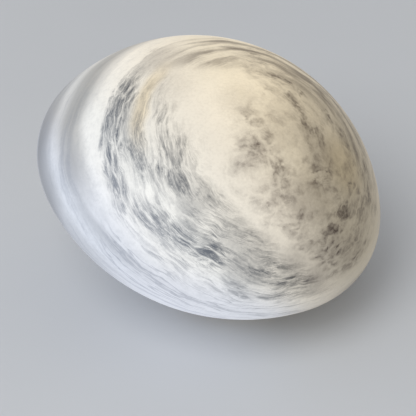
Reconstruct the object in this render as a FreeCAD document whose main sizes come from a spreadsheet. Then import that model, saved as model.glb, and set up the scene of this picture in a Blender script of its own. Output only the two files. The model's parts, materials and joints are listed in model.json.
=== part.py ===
import FreeCAD, Part
import math
import os
import re
import Sketcher

# Alabaster table lamp, in millimetres.
# The shade is a turned stone oval whose axis leans towards +X. It is hollow, cut flat underneath, and its
# opening drops over the spigot of a recessed round base. The base carries a lampholder with its bulb and
# closes over the wiring. The push switch and the cord's inlet are at the back, towards +Y.
# The origin is the middle of the foot pad's underside, and +Z is up.

Vector = FreeCAD.Vector
Rotation = FreeCAD.Rotation
Placement = FreeCAD.Placement

SIZES = {
    # Stone: half its width, its height above and below the widest ring, and the two arcs beside that ring
    "stone_radius": 150,
    "crown_height": 116.5,
    "keel_height": 92.5,
    "crown_side": 55,
    "keel_side": 42,
    "lean_angle": 18.3,
    "stone_wall": 18,
    "flat_drop": 76,
    "floor_thick": 14,
    "opening_radius": 55,
    "arris_radius": 2.5,
    # Ring bonded into the stone's opening, and the soft ring under it
    "glue_gap": 0.2,
    "ring_wall": 2.5,
    "ring_flange": 1.2,
    "gasket_thick": 1,
    "gasket_inset": 1.5,
    "gasket_clear": 0.5,
    # Base
    "foot_thick": 2,
    "foot_inset": 0.5,
    "rim_ledge": 10.5,
    "rim_lip": 4.2,
    "rim_chamfer": 1,
    "spigot_clear": 0.8,
    "spigot_proud": 1.8,
    "pan_wall": 3,
    "cover_thick": 2,
    "cover_clear": 0.3,
    # Cover screws
    "screw_edge": 3,
    "screw_start": 20,
    "screw_count": 3,
    "screw_radius": 1.5,
    "screw_length": 8,
    "screw_head": 2.9,
    "screw_head_height": 1.6,
    "hole_clear": 0.15,
    "head_clear": 0.6,
    # Cord gland, at the back: its axis above the cover and below the rim's top
    "inlet_lift": 5.8,
    "inlet_drop": 5.2,
    "gland_bore": 3.2,
    "gland_shank": 4,
    "gland_flange": 5,
    "gland_flange_thick": 3,
    "gland_nut_flats": 10,
    "gland_nut_thick": 3,
    "gland_nut_gap": 0.7,
    "gland_spare": 1.3,
    # Push switch, beside it
    "switch_angle": 45,
    "neck_radius": 4,
    "bezel_radius": 5.5,
    "bezel_thick": 2.5,
    "switch_width": 10,
    "switch_depth": 14,
    "switch_gap": 0.7,
    "button_radius": 2.6,
    "button_clear": 0.3,
    "button_proud": 2.5,
    "button_length": 12,
    "button_edge": 0.6,
    "button_room": 2.4,
    # Nipple that carries the lampholder
    "nipple_radius": 5,
    "nipple_bore": 3.6,
    "nipple_below": 8,
    "nipple_above": 9,
    "nut_flats": 14,
    "nut_thick": 4,
    "washer_radius": 10,
    "washer_thick": 1.2,
    # Lampholder
    "holder_radius": 19.5,
    "holder_round": 5,
    "holder_wall": 2,
    "holder_ledge": 2,
    "holder_floor": 4,
    "insert_seat": 11,
    "insert_thick": 8,
    "insert_clear": 0.3,
    "insert_recess": 1,
    "lead_socket": 2.5,
    "shell_thick": 0.5,
    "shell_clear": 0.3,
    "shell_drop": 2,
    "skirt_gap": 1.3,
    "flute_count": 28,
    "flute_radius": 0.9,
    "flute_depth": 0.5,
    "flute_edge": 1.2,
    "contact_width": 6,
    "contact_thick": 0.6,
    "contact_reach": 9,
    "contact_rise": 2.4,
    # Bulb
    "lamp_cap_radius": 13.25,
    "lamp_cap_height": 25,
    "lamp_cap_wall": 0.6,
    "lamp_cap_clear": 0.35,
    "tip_radius": 4.8,
    "tip_height": 0.8,
    "tip_gap": 0.3,
    "insulator_height": 2.2,
    "housing_height": 16,
    "housing_wall": 1.6,
    "housing_neck": 5,
    "housing_collar": 3,
    "housing_rim": 5,
    "collar_round": 6,
    "rim_round": 10,
    "bulb_radius": 22.5,
    "globe_wall": 1.2,
    "globe_rise": 7,
    "board_thick": 1.6,
    "board_clear": 0.4,
    "board_ledge": 3,
    "chip_side": 3.5,
    "chip_height": 0.7,
    "chip_circle": 11,
    "chip_count": 6,
    "driver_width": 16,
    "driver_height": 20,
    # Terminal block and earth
    "block_length": 30,
    "block_width": 16,
    "block_height": 14,
    "block_offset": 27,
    "way_pitch": 10,
    "way_radius": 1.6,
    "way_drop": 4,
    "terminal_radius": 1.7,
    "terminal_screw_length": 5,
    "block_screw_head": 2.6,
    "block_screw_head_height": 1.6,
    "earth_x": 8,
    "earth_y": 26,
    "earth_screw_radius": 1.9,
    "earth_screw_head": 3.6,
    "earth_screw_head_height": 2.4,
    "tag_radius": 4.2,
    "tag_thick": 0.8,
    "tag_barrel": 5,
    # Leads
    "lead_radius": 0.9,
    "lead_spread": 1.8,
    "lead_entry": 3,
    "lead_pitch": 6,
}

# Heights and radii that follow from the sizes above
FOLLOWS = {
    "keel_reach": "stone_radius - keel_side",
    "keel_cap": "(keel_reach^2 + keel_height^2 - keel_side^2) / (2 * (keel_height - keel_side))",
    "spigot_radius": "opening_radius - glue_gap - ring_wall - spigot_clear",
    "spigot_height": "gasket_thick + ring_flange + floor_thick + spigot_proud",
    "wall_inner": "spigot_radius - pan_wall",
    "rim_radius": "spigot_radius + rim_ledge",
    "cover_radius": "rim_radius - rim_lip - cover_clear",
    "foot_radius": "cover_radius - foot_inset",
    "screw_circle": "wall_inner + screw_edge",
    "inlet_rise": "cover_thick + inlet_lift",
    "rim_height": "inlet_rise + inlet_drop",
    "gland_reach": "rim_radius - wall_inner + gland_nut_gap + gland_nut_thick + gland_spare",
    "rim_top": "foot_thick + rim_height",
    "ring_bottom": "rim_top + gasket_thick",
    "stone_bottom": "ring_bottom + ring_flange",
    "floor_top": "stone_bottom + floor_thick",
    "equator_x": "-(keel_cap - keel_height) * sin(lean_angle)",
    "equator_z": "stone_bottom + flat_drop",
    "pan_top": "rim_top + spigot_height",
    "plate_bottom": "pan_top - pan_wall",
    "inlet_z": "foot_thick + inlet_rise",
    "insert_bottom": "pan_top + insert_seat",
    "insert_top": "insert_bottom + insert_thick",
    "holder_cap_height": "insert_seat + insert_thick + insert_recess",
    "skirt_bottom": "pan_top + holder_cap_height",
    "tip_bottom": "insert_top + contact_rise + contact_thick + tip_gap",
    "lamp_cap_bottom": "tip_bottom + tip_height + insulator_height",
    "housing_bottom": "lamp_cap_bottom + lamp_cap_height",
    "skirt_height": "housing_bottom - skirt_gap - skirt_bottom",
    "shell_height": "skirt_bottom + skirt_height - shell_drop - insert_top",
    "globe_bottom": "housing_bottom + housing_height",
    "globe_rim": "sqrt(bulb_radius^2 - globe_rise^2)",
    "board_radius": "globe_rim - globe_wall - board_clear",
    "shell_inner": "lamp_cap_radius + lamp_cap_clear",
    "block_bottom": "plate_bottom - block_height",
    "way_z": "plate_bottom - way_drop",
    "barrel_radius": "lead_radius + tag_thick",
}

doc = FreeCAD.newDocument("alabaster_lamp")
sheet = doc.addObject("Spreadsheet::Sheet", "Sizes")
sub_parts = []


def fill_sheet():
    """Write each size, then each value that follows from them, into the sheet under its own name."""
    cells = list(SIZES.items())
    cells += [(name, "=" + formula) for name, formula in FOLLOWS.items()]
    for row, (name, content) in enumerate(cells, start=1):
        sheet.set(f"A{row}", name)
        sheet.set(f"B{row}", str(content))
        sheet.setAlias(f"B{row}", name)
    doc.recompute()


def number(expression):
    """The value of an expression of named sizes."""
    return float(sheet.evalExpression(expression))


def bound(expression):
    """The expression with each size named in full, as an object outside the sheet refers to it."""
    def full_name(word):
        name = word.group()
        return f"Sizes.{name}" if name in SIZES or name in FOLLOWS else name
    return re.sub(r"[a-z_]+", full_name, expression)


def bind(thing, **properties):
    """Tie properties of an object, or its position as x, y and z, to expressions of the sizes."""
    for name, expression in properties.items():
        path = f"Placement.Base.{name}" if name in ("x", "y", "z") else name
        thing.setExpression(path, bound(expression))


def turn_about_z(thing, rotation, angle):
    """Give an object a rotation, turned about +Z by an angle in degrees, clockwise from above."""
    thing.Placement = Placement(Vector(), Rotation(Vector(0, 0, 1), -number(angle)).multiply(rotation))


def keep(thing, label):
    """Name an object as one sub-part of the lamp."""
    thing.Label = label
    sub_parts.append(thing)
    return thing


# Sketches

def new_sketch(body, name, role="XZ_Plane", lift=None):
    """An empty sketch on one of the body's own origin planes, lifted off it if asked."""
    sketch = body.newObject("Sketcher::SketchObject", name)
    plane = next(feature for feature in body.Origin.OriginFeatures if feature.Role == role)
    sketch.AttachmentSupport = [(plane, "")]
    sketch.MapMode = "FlatFace"
    if lift:
        sketch.setExpression("AttachmentOffset.Base.z", bound(lift))
    return sketch


def set_size(sketch, constraint, expression):
    """Add a constraint with a value and tie the value to an expression."""
    index = sketch.addConstraint(constraint)
    sketch.setExpression(f"Constraints[{index}]", bound(expression))


def hold_point(sketch, geometry, point, across, up):
    """Hold a point of the sketch at two distances from its origin, or on an axis where one is 0."""
    for kind, axis, expression in (("DistanceX", -2, across), ("DistanceY", -1, up)):
        if expression == "0":
            sketch.addConstraint(Sketcher.Constraint("PointOnObject", geometry, point, axis))
        else:
            constraint = Sketcher.Constraint(kind, -1, 1, geometry, point, number(expression))
            set_size(sketch, constraint, expression)


def draw_polygon(sketch, corners):
    """A closed outline of straight lines through corners given as pairs of expressions."""
    places = [Vector(number(across), number(up), 0) for across, up in corners]
    first = sketch.GeometryCount
    count = len(corners)
    for index in range(count):
        sketch.addGeometry(Part.LineSegment(places[index], places[(index + 1) % count]))
    for index in range(count):
        following = first + (index + 1) % count
        sketch.addConstraint(Sketcher.Constraint("Coincident", first + index, 2, following, 1))
    for index, (across, up) in enumerate(corners):
        hold_point(sketch, first + index, 1, across, up)


def draw_circle(sketch, across, up, radius):
    """A circle whose middle and radius are expressions."""
    middle = Vector(number(across), number(up), 0)
    index = sketch.addGeometry(Part.Circle(middle, Vector(0, 0, 1), number(radius)))
    hold_point(sketch, index, 3, across, up)
    set_size(sketch, Sketcher.Constraint("Radius", index, number(radius)), radius)


def draw_hexagon(sketch, flats):
    """A hexagon about the origin with two sides level, given by its width across flats."""
    half = f"{flats} / 2"
    corner = f"{flats} / sqrt(3)"
    side = f"{flats} / sqrt(12)"
    draw_polygon(sketch, [(corner, "0"), (side, half), (f"-{side}", half), (f"-{corner}", "0"),
                          (f"-{side}", f"-{half}"), (side, f"-{half}")])


# Bodies

def new_body(label):
    """An empty body for one sub-part or one building block."""
    body = doc.addObject("PartDesign::Body", label)
    body.Label = label
    return body


def add_revolution(body, sketch):
    """Turn a sketch about its upright axis."""
    feature = body.newObject("PartDesign::Revolution", "turned")
    feature.Profile = sketch
    feature.ReferenceAxis = (sketch, ["V_Axis"])
    feature.Angle = 360
    return feature


def add_pad(body, sketch, length):
    """Raise a sketch by a length."""
    feature = body.newObject("PartDesign::Pad", "raised")
    feature.Profile = sketch
    feature.setExpression("Length", bound(length))
    return feature


def add_pocket(body, sketch, length, outwards=False):
    """Cut a sketch down by a length, or the other way, and make sure that it took something away."""
    doc.recompute()
    before = body.Shape.Volume
    feature = body.newObject("PartDesign::Pocket", "cut")
    feature.Profile = sketch
    feature.Reversed = outwards
    feature.setExpression("Length", bound(length))
    doc.recompute()
    if feature.Shape.Volume >= before:
        raise RuntimeError(f"a cut in {body.Label} took nothing away")
    return feature


def add_circle_pattern(body, feature, count):
    """Repeat a feature evenly about the body's upright axis."""
    pattern = body.newObject("PartDesign::PolarPattern", "repeated")
    pattern.Originals = [feature]
    axis = next(item for item in body.Origin.OriginFeatures if item.Role == "Z_Axis")
    pattern.Axis = (axis, [""])
    pattern.Angle = 360
    pattern.setExpression("Occurrences", bound(count))
    body.Tip = pattern
    return pattern


def turned_body(label, corners):
    """A body turned about +Z from an outline of radii and heights."""
    body = new_body(label)
    sketch = new_sketch(body, "outline")
    draw_polygon(sketch, corners)
    add_revolution(body, sketch)
    return body


def round_edge(body, radius, height, rounding):
    """Round the edge that runs round a turned body at a radius and a height."""
    doc.recompute()
    tolerance = 0.001
    turned = body.Tip
    edges = [f"Edge{index}" for index, edge in enumerate(turned.Shape.Edges, start=1)
             if isinstance(edge.Curve, Part.Circle) and abs(edge.Curve.Radius - number(radius)) < tolerance
             and abs(edge.Curve.Center.z - number(height)) < tolerance]
    if len(edges) != 1:
        raise RuntimeError(f"{body.Label} has {len(edges)} edges to round there")
    feature = body.newObject("PartDesign::Fillet", "rounded")
    feature.Base = (turned, edges)
    feature.setExpression("Radius", bound(rounding))
    return feature


def ring_corners(inner, outer, height):
    """The outline of a plain ring that stands on height 0."""
    return [(inner, "0"), (outer, "0"), (outer, height), (inner, height)]


def screw_corners(head, head_height, shank, length):
    """The outline of a screw with a domed head below height 0 and its shank above."""
    face = f"-{head_height}"
    return [("0", face), (f"{head} / 2", face), (head, f"{face} / 3"), (head, "0"),
            (shank, "0"), (shank, length), ("0", length)]


def grouped(label, members):
    """Several separate solids of one kind as one sub-part."""
    group = doc.addObject("Part::Compound", label)
    group.Links = members
    return keep(group, label)


def primitive(kind, name, **properties):
    """A plain solid whose sizes and place are tied to expressions."""
    solid = doc.addObject(f"Part::{kind}", name)
    bind(solid, **properties)
    return solid


def boolean(kind, name, base, tool):
    """Two solids cut, fused or intersected."""
    result = doc.addObject(f"Part::{kind}", name)
    result.Base = base
    result.Tool = tool
    return result


# Shade

def stone_oval(label, inset):
    """The turned oval that gives the stone its form, drawn in from the surface by an inset.

    Each quarter is a side arc, upright at the widest ring, and a cap arc, level on the axis.
    """
    radius = f"stone_radius - {inset}"
    crown = f"crown_height - {inset}"
    keel = f"keel_height - {inset}"
    crown_side = f"crown_side - {inset}"
    keel_side = f"keel_side - {inset}"
    body = new_body(label)
    sketch = new_sketch(body, "oval")

    def cap_radius(height, side):
        reach = number(radius) - side
        return (reach ** 2 + height ** 2 - side ** 2) / (2 * (height - side))

    up = Vector(0, 0, 1)
    keel_cap = cap_radius(number(keel), number(keel_side))
    crown_cap = cap_radius(number(crown), number(crown_side))
    keel_side_middle = Vector(number(radius) - number(keel_side), 0, 0)
    crown_side_middle = Vector(number(radius) - number(crown_side), 0, 0)
    keel_cap_middle = Vector(0, keel_cap - number(keel), 0)
    crown_cap_middle = Vector(0, number(crown) - crown_cap, 0)
    keel_turn = math.atan2(-keel_cap_middle.y, keel_side_middle.x)
    crown_turn = math.atan2(-crown_cap_middle.y, crown_side_middle.x)
    quarter = math.pi / 2
    arcs = ((keel_cap_middle, keel_cap, -quarter, keel_turn),
            (keel_side_middle, number(keel_side), keel_turn, 0),
            (crown_side_middle, number(crown_side), 0, crown_turn),
            (crown_cap_middle, crown_cap, crown_turn, quarter))
    for middle, arc_radius, start, end in arcs:
        sketch.addGeometry(Part.ArcOfCircle(Part.Circle(middle, up, arc_radius), start, end))
    sketch.addGeometry(Part.LineSegment(Vector(0, number(crown), 0), Vector(0, -number(keel), 0)))

    sketch.addConstraint(Sketcher.Constraint("Tangent", 0, 2, 1, 1))
    sketch.addConstraint(Sketcher.Constraint("Coincident", 1, 2, 2, 1))
    sketch.addConstraint(Sketcher.Constraint("Tangent", 2, 2, 3, 1))
    sketch.addConstraint(Sketcher.Constraint("Coincident", 3, 2, 4, 1))
    sketch.addConstraint(Sketcher.Constraint("Coincident", 4, 2, 0, 1))
    for cap in (0, 3):
        sketch.addConstraint(Sketcher.Constraint("PointOnObject", cap, 3, -2))
    for side in (1, 2):
        sketch.addConstraint(Sketcher.Constraint("PointOnObject", side, 3, -1))
    hold_point(sketch, 1, 2, radius, "0")
    hold_point(sketch, 3, 2, "0", crown)
    sketch.addConstraint(Sketcher.Constraint("PointOnObject", 0, 1, -2))
    set_size(sketch, Sketcher.Constraint("DistanceY", 0, 1, -1, 1, number(keel)), keel)
    set_size(sketch, Sketcher.Constraint("Radius", 1, number(keel_side)), keel_side)
    set_size(sketch, Sketcher.Constraint("Radius", 2, number(crown_side)), crown_side)
    add_revolution(body, sketch)

    body.Placement = Placement(Vector(), Rotation(Vector(0, 1, 0), number("lean_angle")))
    body.setExpression("Placement.Rotation.Angle", bound("lean_angle"))
    bind(body, x="equator_x", z="equator_z")
    return body


def is_flat_edge(edge):
    """Whether an edge of the stone runs round its flat underside, outside the base's rim."""
    tolerance = 0.001
    level = all(abs(point.Z - number("stone_bottom")) < tolerance for point in edge.Vertexes)
    outside = all(math.hypot(point.X, point.Y) > number("rim_radius") for point in edge.Vertexes)
    return level and outside and edge.BoundBox.ZLength < tolerance


def alabaster_shade():
    """The stone: the outer oval cut flat, less the hollow above its floor and the opening through it."""
    outer = stone_oval("stone_form", "0")
    inner = stone_oval("hollow_form", "stone_wall")
    span = "4 * stone_radius"
    below = primitive("Box", "below_flat", Length=span, Width=span, Height=span,
                      x=f"-{span} / 2", y=f"-{span} / 2", z=f"stone_bottom - {span}")
    above = primitive("Box", "above_floor", Length=span, Width=span, Height=span,
                      x=f"-{span} / 2", y=f"-{span} / 2", z="floor_top")
    opening = primitive("Cylinder", "opening", Radius="opening_radius", Height="2 * floor_thick",
                        z="stone_bottom - floor_thick / 2")
    block = boolean("Cut", "stone_block", outer, below)
    hollow = boolean("Common", "stone_hollow", inner, above)
    space = boolean("Fuse", "stone_space", hollow, opening)
    hollowed = boolean("Cut", "stone_hollowed", block, space)
    doc.recompute()

    rounded = doc.addObject("Part::Fillet", "alabaster_shade")
    rounded.Base = hollowed
    arris = number("arris_radius")
    rounded.Edges = [(index, arris, arris) for index, edge in enumerate(hollowed.Shape.Edges, start=1)
                     if is_flat_edge(edge)]
    return keep(rounded, "alabaster_shade")


def shade_ring():
    """The metal ring in the stone's opening, with a flange under the stone."""
    inner = "opening_radius - glue_gap - ring_wall"
    sleeve = "opening_radius - glue_gap"
    flange = "rim_radius - gasket_inset"
    top = "ring_flange + floor_thick"
    body = turned_body("shade_ring", [
        (inner, "0"), (flange, "0"), (flange, "ring_flange"), (sleeve, "ring_flange"),
        (sleeve, top), (inner, top)])
    bind(body, z="ring_bottom")
    return keep(body, "shade_ring")


# Base

def shade_gasket():
    """The soft ring on the base's rim that the shade sits on."""
    inner = "spigot_radius + gasket_clear"
    body = turned_body("shade_gasket", ring_corners(inner, "rim_radius - gasket_inset", "gasket_thick"))
    bind(body, z="rim_top")
    return keep(body, "shade_gasket")


def add_back_hole(body, name, radius, angle):
    """Bore the base's rim from inside to outside, at the inlet's height and an angle from the back."""
    sketch = new_sketch(body, name)
    draw_circle(sketch, "0", "inlet_rise", radius)
    sketch.AttachmentOffset = Placement(Vector(), Rotation(Vector(0, 1, 0), -90))
    sketch.setExpression("AttachmentOffset.Rotation.Angle", f"-({bound(angle)})")
    return add_pocket(body, sketch, "2 * rim_radius")


def base_pan():
    """The base: a heavy rim, the spigot that locates the shade, and a plate that carries the lampholder."""
    rebate = "cover_radius + cover_clear"
    top = "rim_height + spigot_height"
    body = turned_body("base_pan", [
        ("0", f"{top} - pan_wall"), ("wall_inner", f"{top} - pan_wall"), ("wall_inner", "cover_thick"),
        (rebate, "cover_thick"), (rebate, "0"), ("rim_radius - rim_chamfer", "0"),
        ("rim_radius", "rim_chamfer"), ("rim_radius", "rim_height - rim_chamfer"),
        ("rim_radius - rim_chamfer", "rim_height"),
        ("spigot_radius", "rim_height"), ("spigot_radius", f"{top} - rim_chamfer"),
        ("spigot_radius - rim_chamfer", top), ("0", top)])
    plate_holes = new_sketch(body, "plate_holes", "XY_Plane", top)
    draw_circle(plate_holes, "0", "0", "nipple_radius + hole_clear")
    draw_circle(plate_holes, "-earth_x", "-earth_y", "earth_screw_radius + hole_clear")
    for side in ("-way_pitch / 2", "way_pitch / 2"):
        draw_circle(plate_holes, "-block_offset", side, "screw_radius + hole_clear")
    add_pocket(body, plate_holes, "pan_wall")
    screw_hole = new_sketch(body, "screw_hole", "XY_Plane", "cover_thick")
    draw_circle(screw_hole, "screw_circle * cos(screw_start)", "screw_circle * sin(screw_start)",
                "screw_radius + hole_clear")
    hole = add_pocket(body, screw_hole, "screw_length", outwards=True)
    add_circle_pattern(body, hole, "screw_count")
    add_back_hole(body, "gland_hole", "gland_shank + hole_clear", "0")
    add_back_hole(body, "switch_hole", "neck_radius + hole_clear", "switch_angle")
    bind(body, z="foot_thick")
    return keep(body, "base_pan")


def add_screw_holes(body, radius, depth):
    """Holes through a disc that stands on height 0, on the circle of the cover screws."""
    sketch = new_sketch(body, "screw_hole", "XY_Plane", depth)
    draw_circle(sketch, "screw_circle * cos(screw_start)", "screw_circle * sin(screw_start)", radius)
    hole = add_pocket(body, sketch, depth)
    add_circle_pattern(body, hole, "screw_count")


def bottom_cover():
    """The plate that closes the base from below."""
    edge = "cover_thick / 4"
    body = turned_body("bottom_cover", [("0", "0"), (f"cover_radius - {edge}", "0"), ("cover_radius", edge),
                                        ("cover_radius", "cover_thick"), ("0", "cover_thick")])
    add_screw_holes(body, "screw_radius + hole_clear", "cover_thick")
    bind(body, z="foot_thick")
    return keep(body, "bottom_cover")


def cover_screws():
    """The screws that hold the cover, heads down."""
    screws = []
    for index in range(round(number("screw_count"))):
        screw = turned_body(f"cover_screw_{index + 1}",
                            screw_corners("screw_head", "screw_head_height", "screw_radius", "screw_length"))
        angle = f"(screw_start + {index} * 360 / screw_count)"
        bind(screw, x=f"screw_circle * cos({angle})", y=f"screw_circle * sin({angle})", z="foot_thick")
        screws.append(screw)
    return grouped("cover_screws", screws)


def foot_pad():
    """The cork disc under the cover, with a hole round each screw head."""
    body = turned_body("foot_pad", [("0", "0"), ("foot_radius", "0"), ("foot_radius", "foot_thick"),
                                    ("0", "foot_thick")])
    add_screw_holes(body, "screw_head + head_clear", "foot_thick")
    return keep(body, "foot_pad")


# Cord gland and push switch: each is turned about +Z, laid towards +Y and set round to its place in the rim

LAID_BACK = Rotation(Vector(1, 0, 0), -90)


def place_at_back(body, angle, reach):
    """Lay a body outwards at the inlet's height, its height 0 at a distance from the base's axis."""
    turn_about_z(body, LAID_BACK, angle)
    bind(body, x=f"({reach}) * sin({angle})", y=f"({reach}) * cos({angle})", z="inlet_z")


def cord_gland():
    """The bush that the cord leaves through."""
    edge = "gland_flange_thick / 3"
    top = "gland_flange_thick"
    body = turned_body("cord_gland", [
        ("gland_bore", "-gland_reach"), ("gland_shank", "-gland_reach"), ("gland_shank", "0"),
        ("gland_flange", "0"), ("gland_flange", f"{top} - {edge}"), (f"gland_flange - {edge}", top),
        ("gland_bore", top)])
    place_at_back(body, "0", "rim_radius")
    return keep(body, "cord_gland")


def hex_nut(label, flats, bore, thick):
    """A hexagon nut that stands on height 0."""
    body = new_body(label)
    sketch = new_sketch(body, "hexagon", "XY_Plane")
    draw_hexagon(sketch, flats)
    draw_circle(sketch, "0", "0", bore)
    add_pad(body, sketch, thick)
    return keep(body, label)


def gland_nut():
    """The nut that holds the gland from inside the base."""
    body = hex_nut("gland_nut", "gland_nut_flats", "gland_shank + hole_clear", "gland_nut_thick")
    place_at_back(body, "0", "wall_inner - gland_nut_gap - gland_nut_thick")
    return body


def switch_body():
    """The sealed switch: a block inside the base and the hollow neck that runs out through the rim."""
    half = "switch_width / 2"
    body = new_body("switch_body")
    block = new_sketch(body, "block", "XY_Plane")
    draw_polygon(block, [(f"-{half}", f"-{half}"), (half, f"-{half}"), (half, half), (f"-{half}", half)])
    add_pad(body, block, "switch_depth")
    neck = new_sketch(body, "neck", "XY_Plane", "switch_depth")
    draw_circle(neck, "0", "0", "neck_radius")
    neck_length = "rim_radius - wall_inner + switch_gap + bezel_thick"
    add_pad(body, neck, neck_length)
    bore = new_sketch(body, "button_bore", "XY_Plane", f"switch_depth + {neck_length}")
    draw_circle(bore, "0", "0", "button_radius + button_clear")
    add_pocket(body, bore, "button_length - button_proud + button_room")
    place_at_back(body, "switch_angle", "wall_inner - switch_gap - switch_depth")
    return keep(body, "switch_body")


def switch_bezel():
    """The ring nut on the switch's neck, outside the rim."""
    edge = "bezel_thick / 3"
    inner = "neck_radius + hole_clear"
    body = turned_body("switch_bezel", [
        (inner, "0"), ("bezel_radius", "0"), ("bezel_radius", f"bezel_thick - {edge}"),
        (f"bezel_radius - {edge}", "bezel_thick"), (inner, "bezel_thick")])
    place_at_back(body, "switch_angle", "rim_radius")
    return keep(body, "switch_bezel")


def switch_button():
    """The button, which stands out of the neck and is pressed towards the base's axis."""
    body = turned_body("switch_button", [
        ("0", "0"), ("button_radius", "0"), ("button_radius", "button_length - button_edge"),
        ("button_radius - button_edge", "button_length"), ("0", "button_length")])
    place_at_back(body, "switch_angle", "rim_radius + bezel_thick + button_proud - button_length")
    return keep(body, "switch_button")


# Lampholder and what carries it

def threaded_nipple():
    """The tube that passes through the base's plate and into the lampholder's cap."""
    length = "nipple_below + pan_wall + nipple_above"
    body = turned_body("threaded_nipple", ring_corners("nipple_bore", "nipple_radius", length))
    bind(body, z="plate_bottom - nipple_below")
    return keep(body, "threaded_nipple")


def nipple_fixings():
    """The washer and nut under the plate, and the nut inside the lampholder's cap."""
    bore = "nipple_radius + hole_clear"
    washer = turned_body("nipple_washer", ring_corners(bore, "washer_radius", "washer_thick"))
    bind(washer, z="plate_bottom - washer_thick")
    keep(washer, "nipple_washer")
    lower = hex_nut("nipple_nut_lower", "nut_flats", bore, "nut_thick")
    bind(lower, z="plate_bottom - washer_thick - nut_thick")
    upper = hex_nut("nipple_nut_upper", "nut_flats", bore, "nut_thick")
    bind(upper, z="pan_top + holder_floor")


def lampholder_cap():
    """The cup at the lampholder's foot, with a round shoulder, and a ledge inside for the insert."""
    hole = "nipple_radius + hole_clear"
    bowl = "holder_radius - holder_wall"
    ledge = f"{bowl} - holder_ledge"
    body = turned_body("lampholder_cap", [
        (hole, "0"), ("holder_radius", "0"), ("holder_radius", "holder_cap_height"),
        (bowl, "holder_cap_height"), (bowl, "insert_seat"), (ledge, "insert_seat"), (ledge, "holder_floor"),
        (hole, "holder_floor")])
    round_edge(body, "holder_radius", "0", "holder_round")
    bind(body, z="pan_top")
    return keep(body, "lampholder_cap")


def lampholder_insert():
    """The porcelain disc on the ledge, with a socket below for each lead."""
    radius = "holder_radius - holder_wall - insert_clear"
    edge = "insert_thick / 8"
    body = turned_body("lampholder_insert", [
        ("0", "0"), (radius, "0"), (radius, f"insert_thick - {edge}"),
        (f"{radius} - {edge}", "insert_thick"), ("0", "insert_thick")])
    sockets = new_sketch(body, "sockets", "XY_Plane", "0")
    for side in ("-lead_spread", "lead_spread"):
        draw_circle(sockets, side, "0", "lead_radius + hole_clear")
    add_pocket(body, sockets, "lead_socket", outwards=True)
    bind(body, z="insert_bottom")
    return keep(body, "lampholder_insert")


def centre_contact():
    """The sprung tongue on the insert: a strip with a flat foot, a slope and a flat top under the bulb."""
    foot = "contact_reach - contact_rise"
    body = new_body("centre_contact")
    sketch = new_sketch(body, "strip")
    draw_polygon(sketch, [
        ("-contact_reach", "0"), (f"-({foot}) / 2", "0"), ("-contact_width / 3", "contact_rise"),
        ("contact_width / 2", "contact_rise"), ("contact_width / 2", "contact_rise + contact_thick"),
        ("-contact_width / 3 - contact_thick / 2", "contact_rise + contact_thick"),
        (f"-({foot}) / 2 - contact_thick / 2", "contact_thick"), ("-contact_reach", "contact_thick")])
    add_pad(body, sketch, "contact_width")
    bind(body, y="contact_width / 2", z="insert_top")
    return keep(body, "centre_contact")


def holder_screw_shell():
    """The metal sleeve that takes the bulb's cap, standing on the insert."""
    outer = "shell_inner + shell_thick"
    body = turned_body("holder_screw_shell", ring_corners("shell_inner", outer, "shell_height"))
    bind(body, z="insert_top")
    return keep(body, "holder_screw_shell")


def lampholder_skirt():
    """The outer sleeve of the lampholder: a fluted grip, and a waist above it."""
    inner = "shell_inner + shell_thick + shell_clear"
    waist = "holder_radius - holder_wall"
    third = "skirt_height / 3"
    body = turned_body("lampholder_skirt", [
        (inner, "0"), ("holder_radius", "0"), ("holder_radius", third), (waist, f"{third} + holder_wall"),
        (waist, "skirt_height - holder_wall"), (f"{waist} - holder_wall / 2", "skirt_height"),
        (inner, "skirt_height")])
    flute = new_sketch(body, "flute", "XY_Plane", "flute_edge")
    draw_circle(flute, "holder_radius + flute_radius - flute_depth", "0", "flute_radius")
    groove = add_pocket(body, flute, f"{third} - 2 * flute_edge", outwards=True)
    add_circle_pattern(body, groove, "flute_count")
    bind(body, z="skirt_bottom")
    return keep(body, "lampholder_skirt")


# Bulb

def bulb_contact():
    """The tip under the bulb."""
    body = turned_body("bulb_contact", [
        ("0", "0"), ("tip_radius - tip_height / 2", "0"), ("tip_radius", "tip_height"), ("0", "tip_height")])
    bind(body, z="tip_bottom")
    return keep(body, "bulb_contact")


def bulb_insulator():
    """The cone between the tip and the cap."""
    body = turned_body("bulb_insulator", [("0", "0"), ("tip_radius + tip_height", "0"),
                                          ("lamp_cap_radius - lamp_cap_wall", "insulator_height"),
                                          ("0", "insulator_height")])
    bind(body, z="tip_bottom + tip_height")
    return keep(body, "bulb_insulator")


def bulb_cap():
    """The metal cup that screws into the lampholder."""
    inner = "lamp_cap_radius - lamp_cap_wall"
    body = turned_body("bulb_cap", [
        ("0", "0"), (inner, "0"), ("lamp_cap_radius", "lamp_cap_wall"),
        ("lamp_cap_radius", "lamp_cap_height"), (inner, "lamp_cap_height"), (inner, "lamp_cap_wall"),
        ("0", "lamp_cap_wall")])
    bind(body, z="lamp_cap_bottom")
    return keep(body, "bulb_cap")


def bulb_housing():
    """The housing: a neck in the cap, a collar, a flare, and a ledge in the rim for the round board."""
    neck = "lamp_cap_radius - lamp_cap_wall - hole_clear"
    bore = f"{neck} - housing_wall"
    inside = "globe_rim - globe_wall"
    throat = f"{inside} - board_ledge"
    shelf = "housing_height - board_thick"
    flare_top = "housing_height - housing_rim"
    body = turned_body("bulb_housing", [
        (bore, "-housing_neck"), (neck, "-housing_neck"), (neck, "0"), ("lamp_cap_radius", "0"),
        ("lamp_cap_radius", "housing_collar"), ("globe_rim", flare_top), ("globe_rim", "housing_height"),
        (inside, "housing_height"), (inside, shelf), (throat, shelf), (throat, flare_top),
        (bore, "housing_collar + housing_wall")])
    round_edge(body, "lamp_cap_radius", "housing_collar", "collar_round")
    round_edge(body, "globe_rim", flare_top, "rim_round")
    bind(body, z="housing_bottom")
    return keep(body, "bulb_housing")


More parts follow.
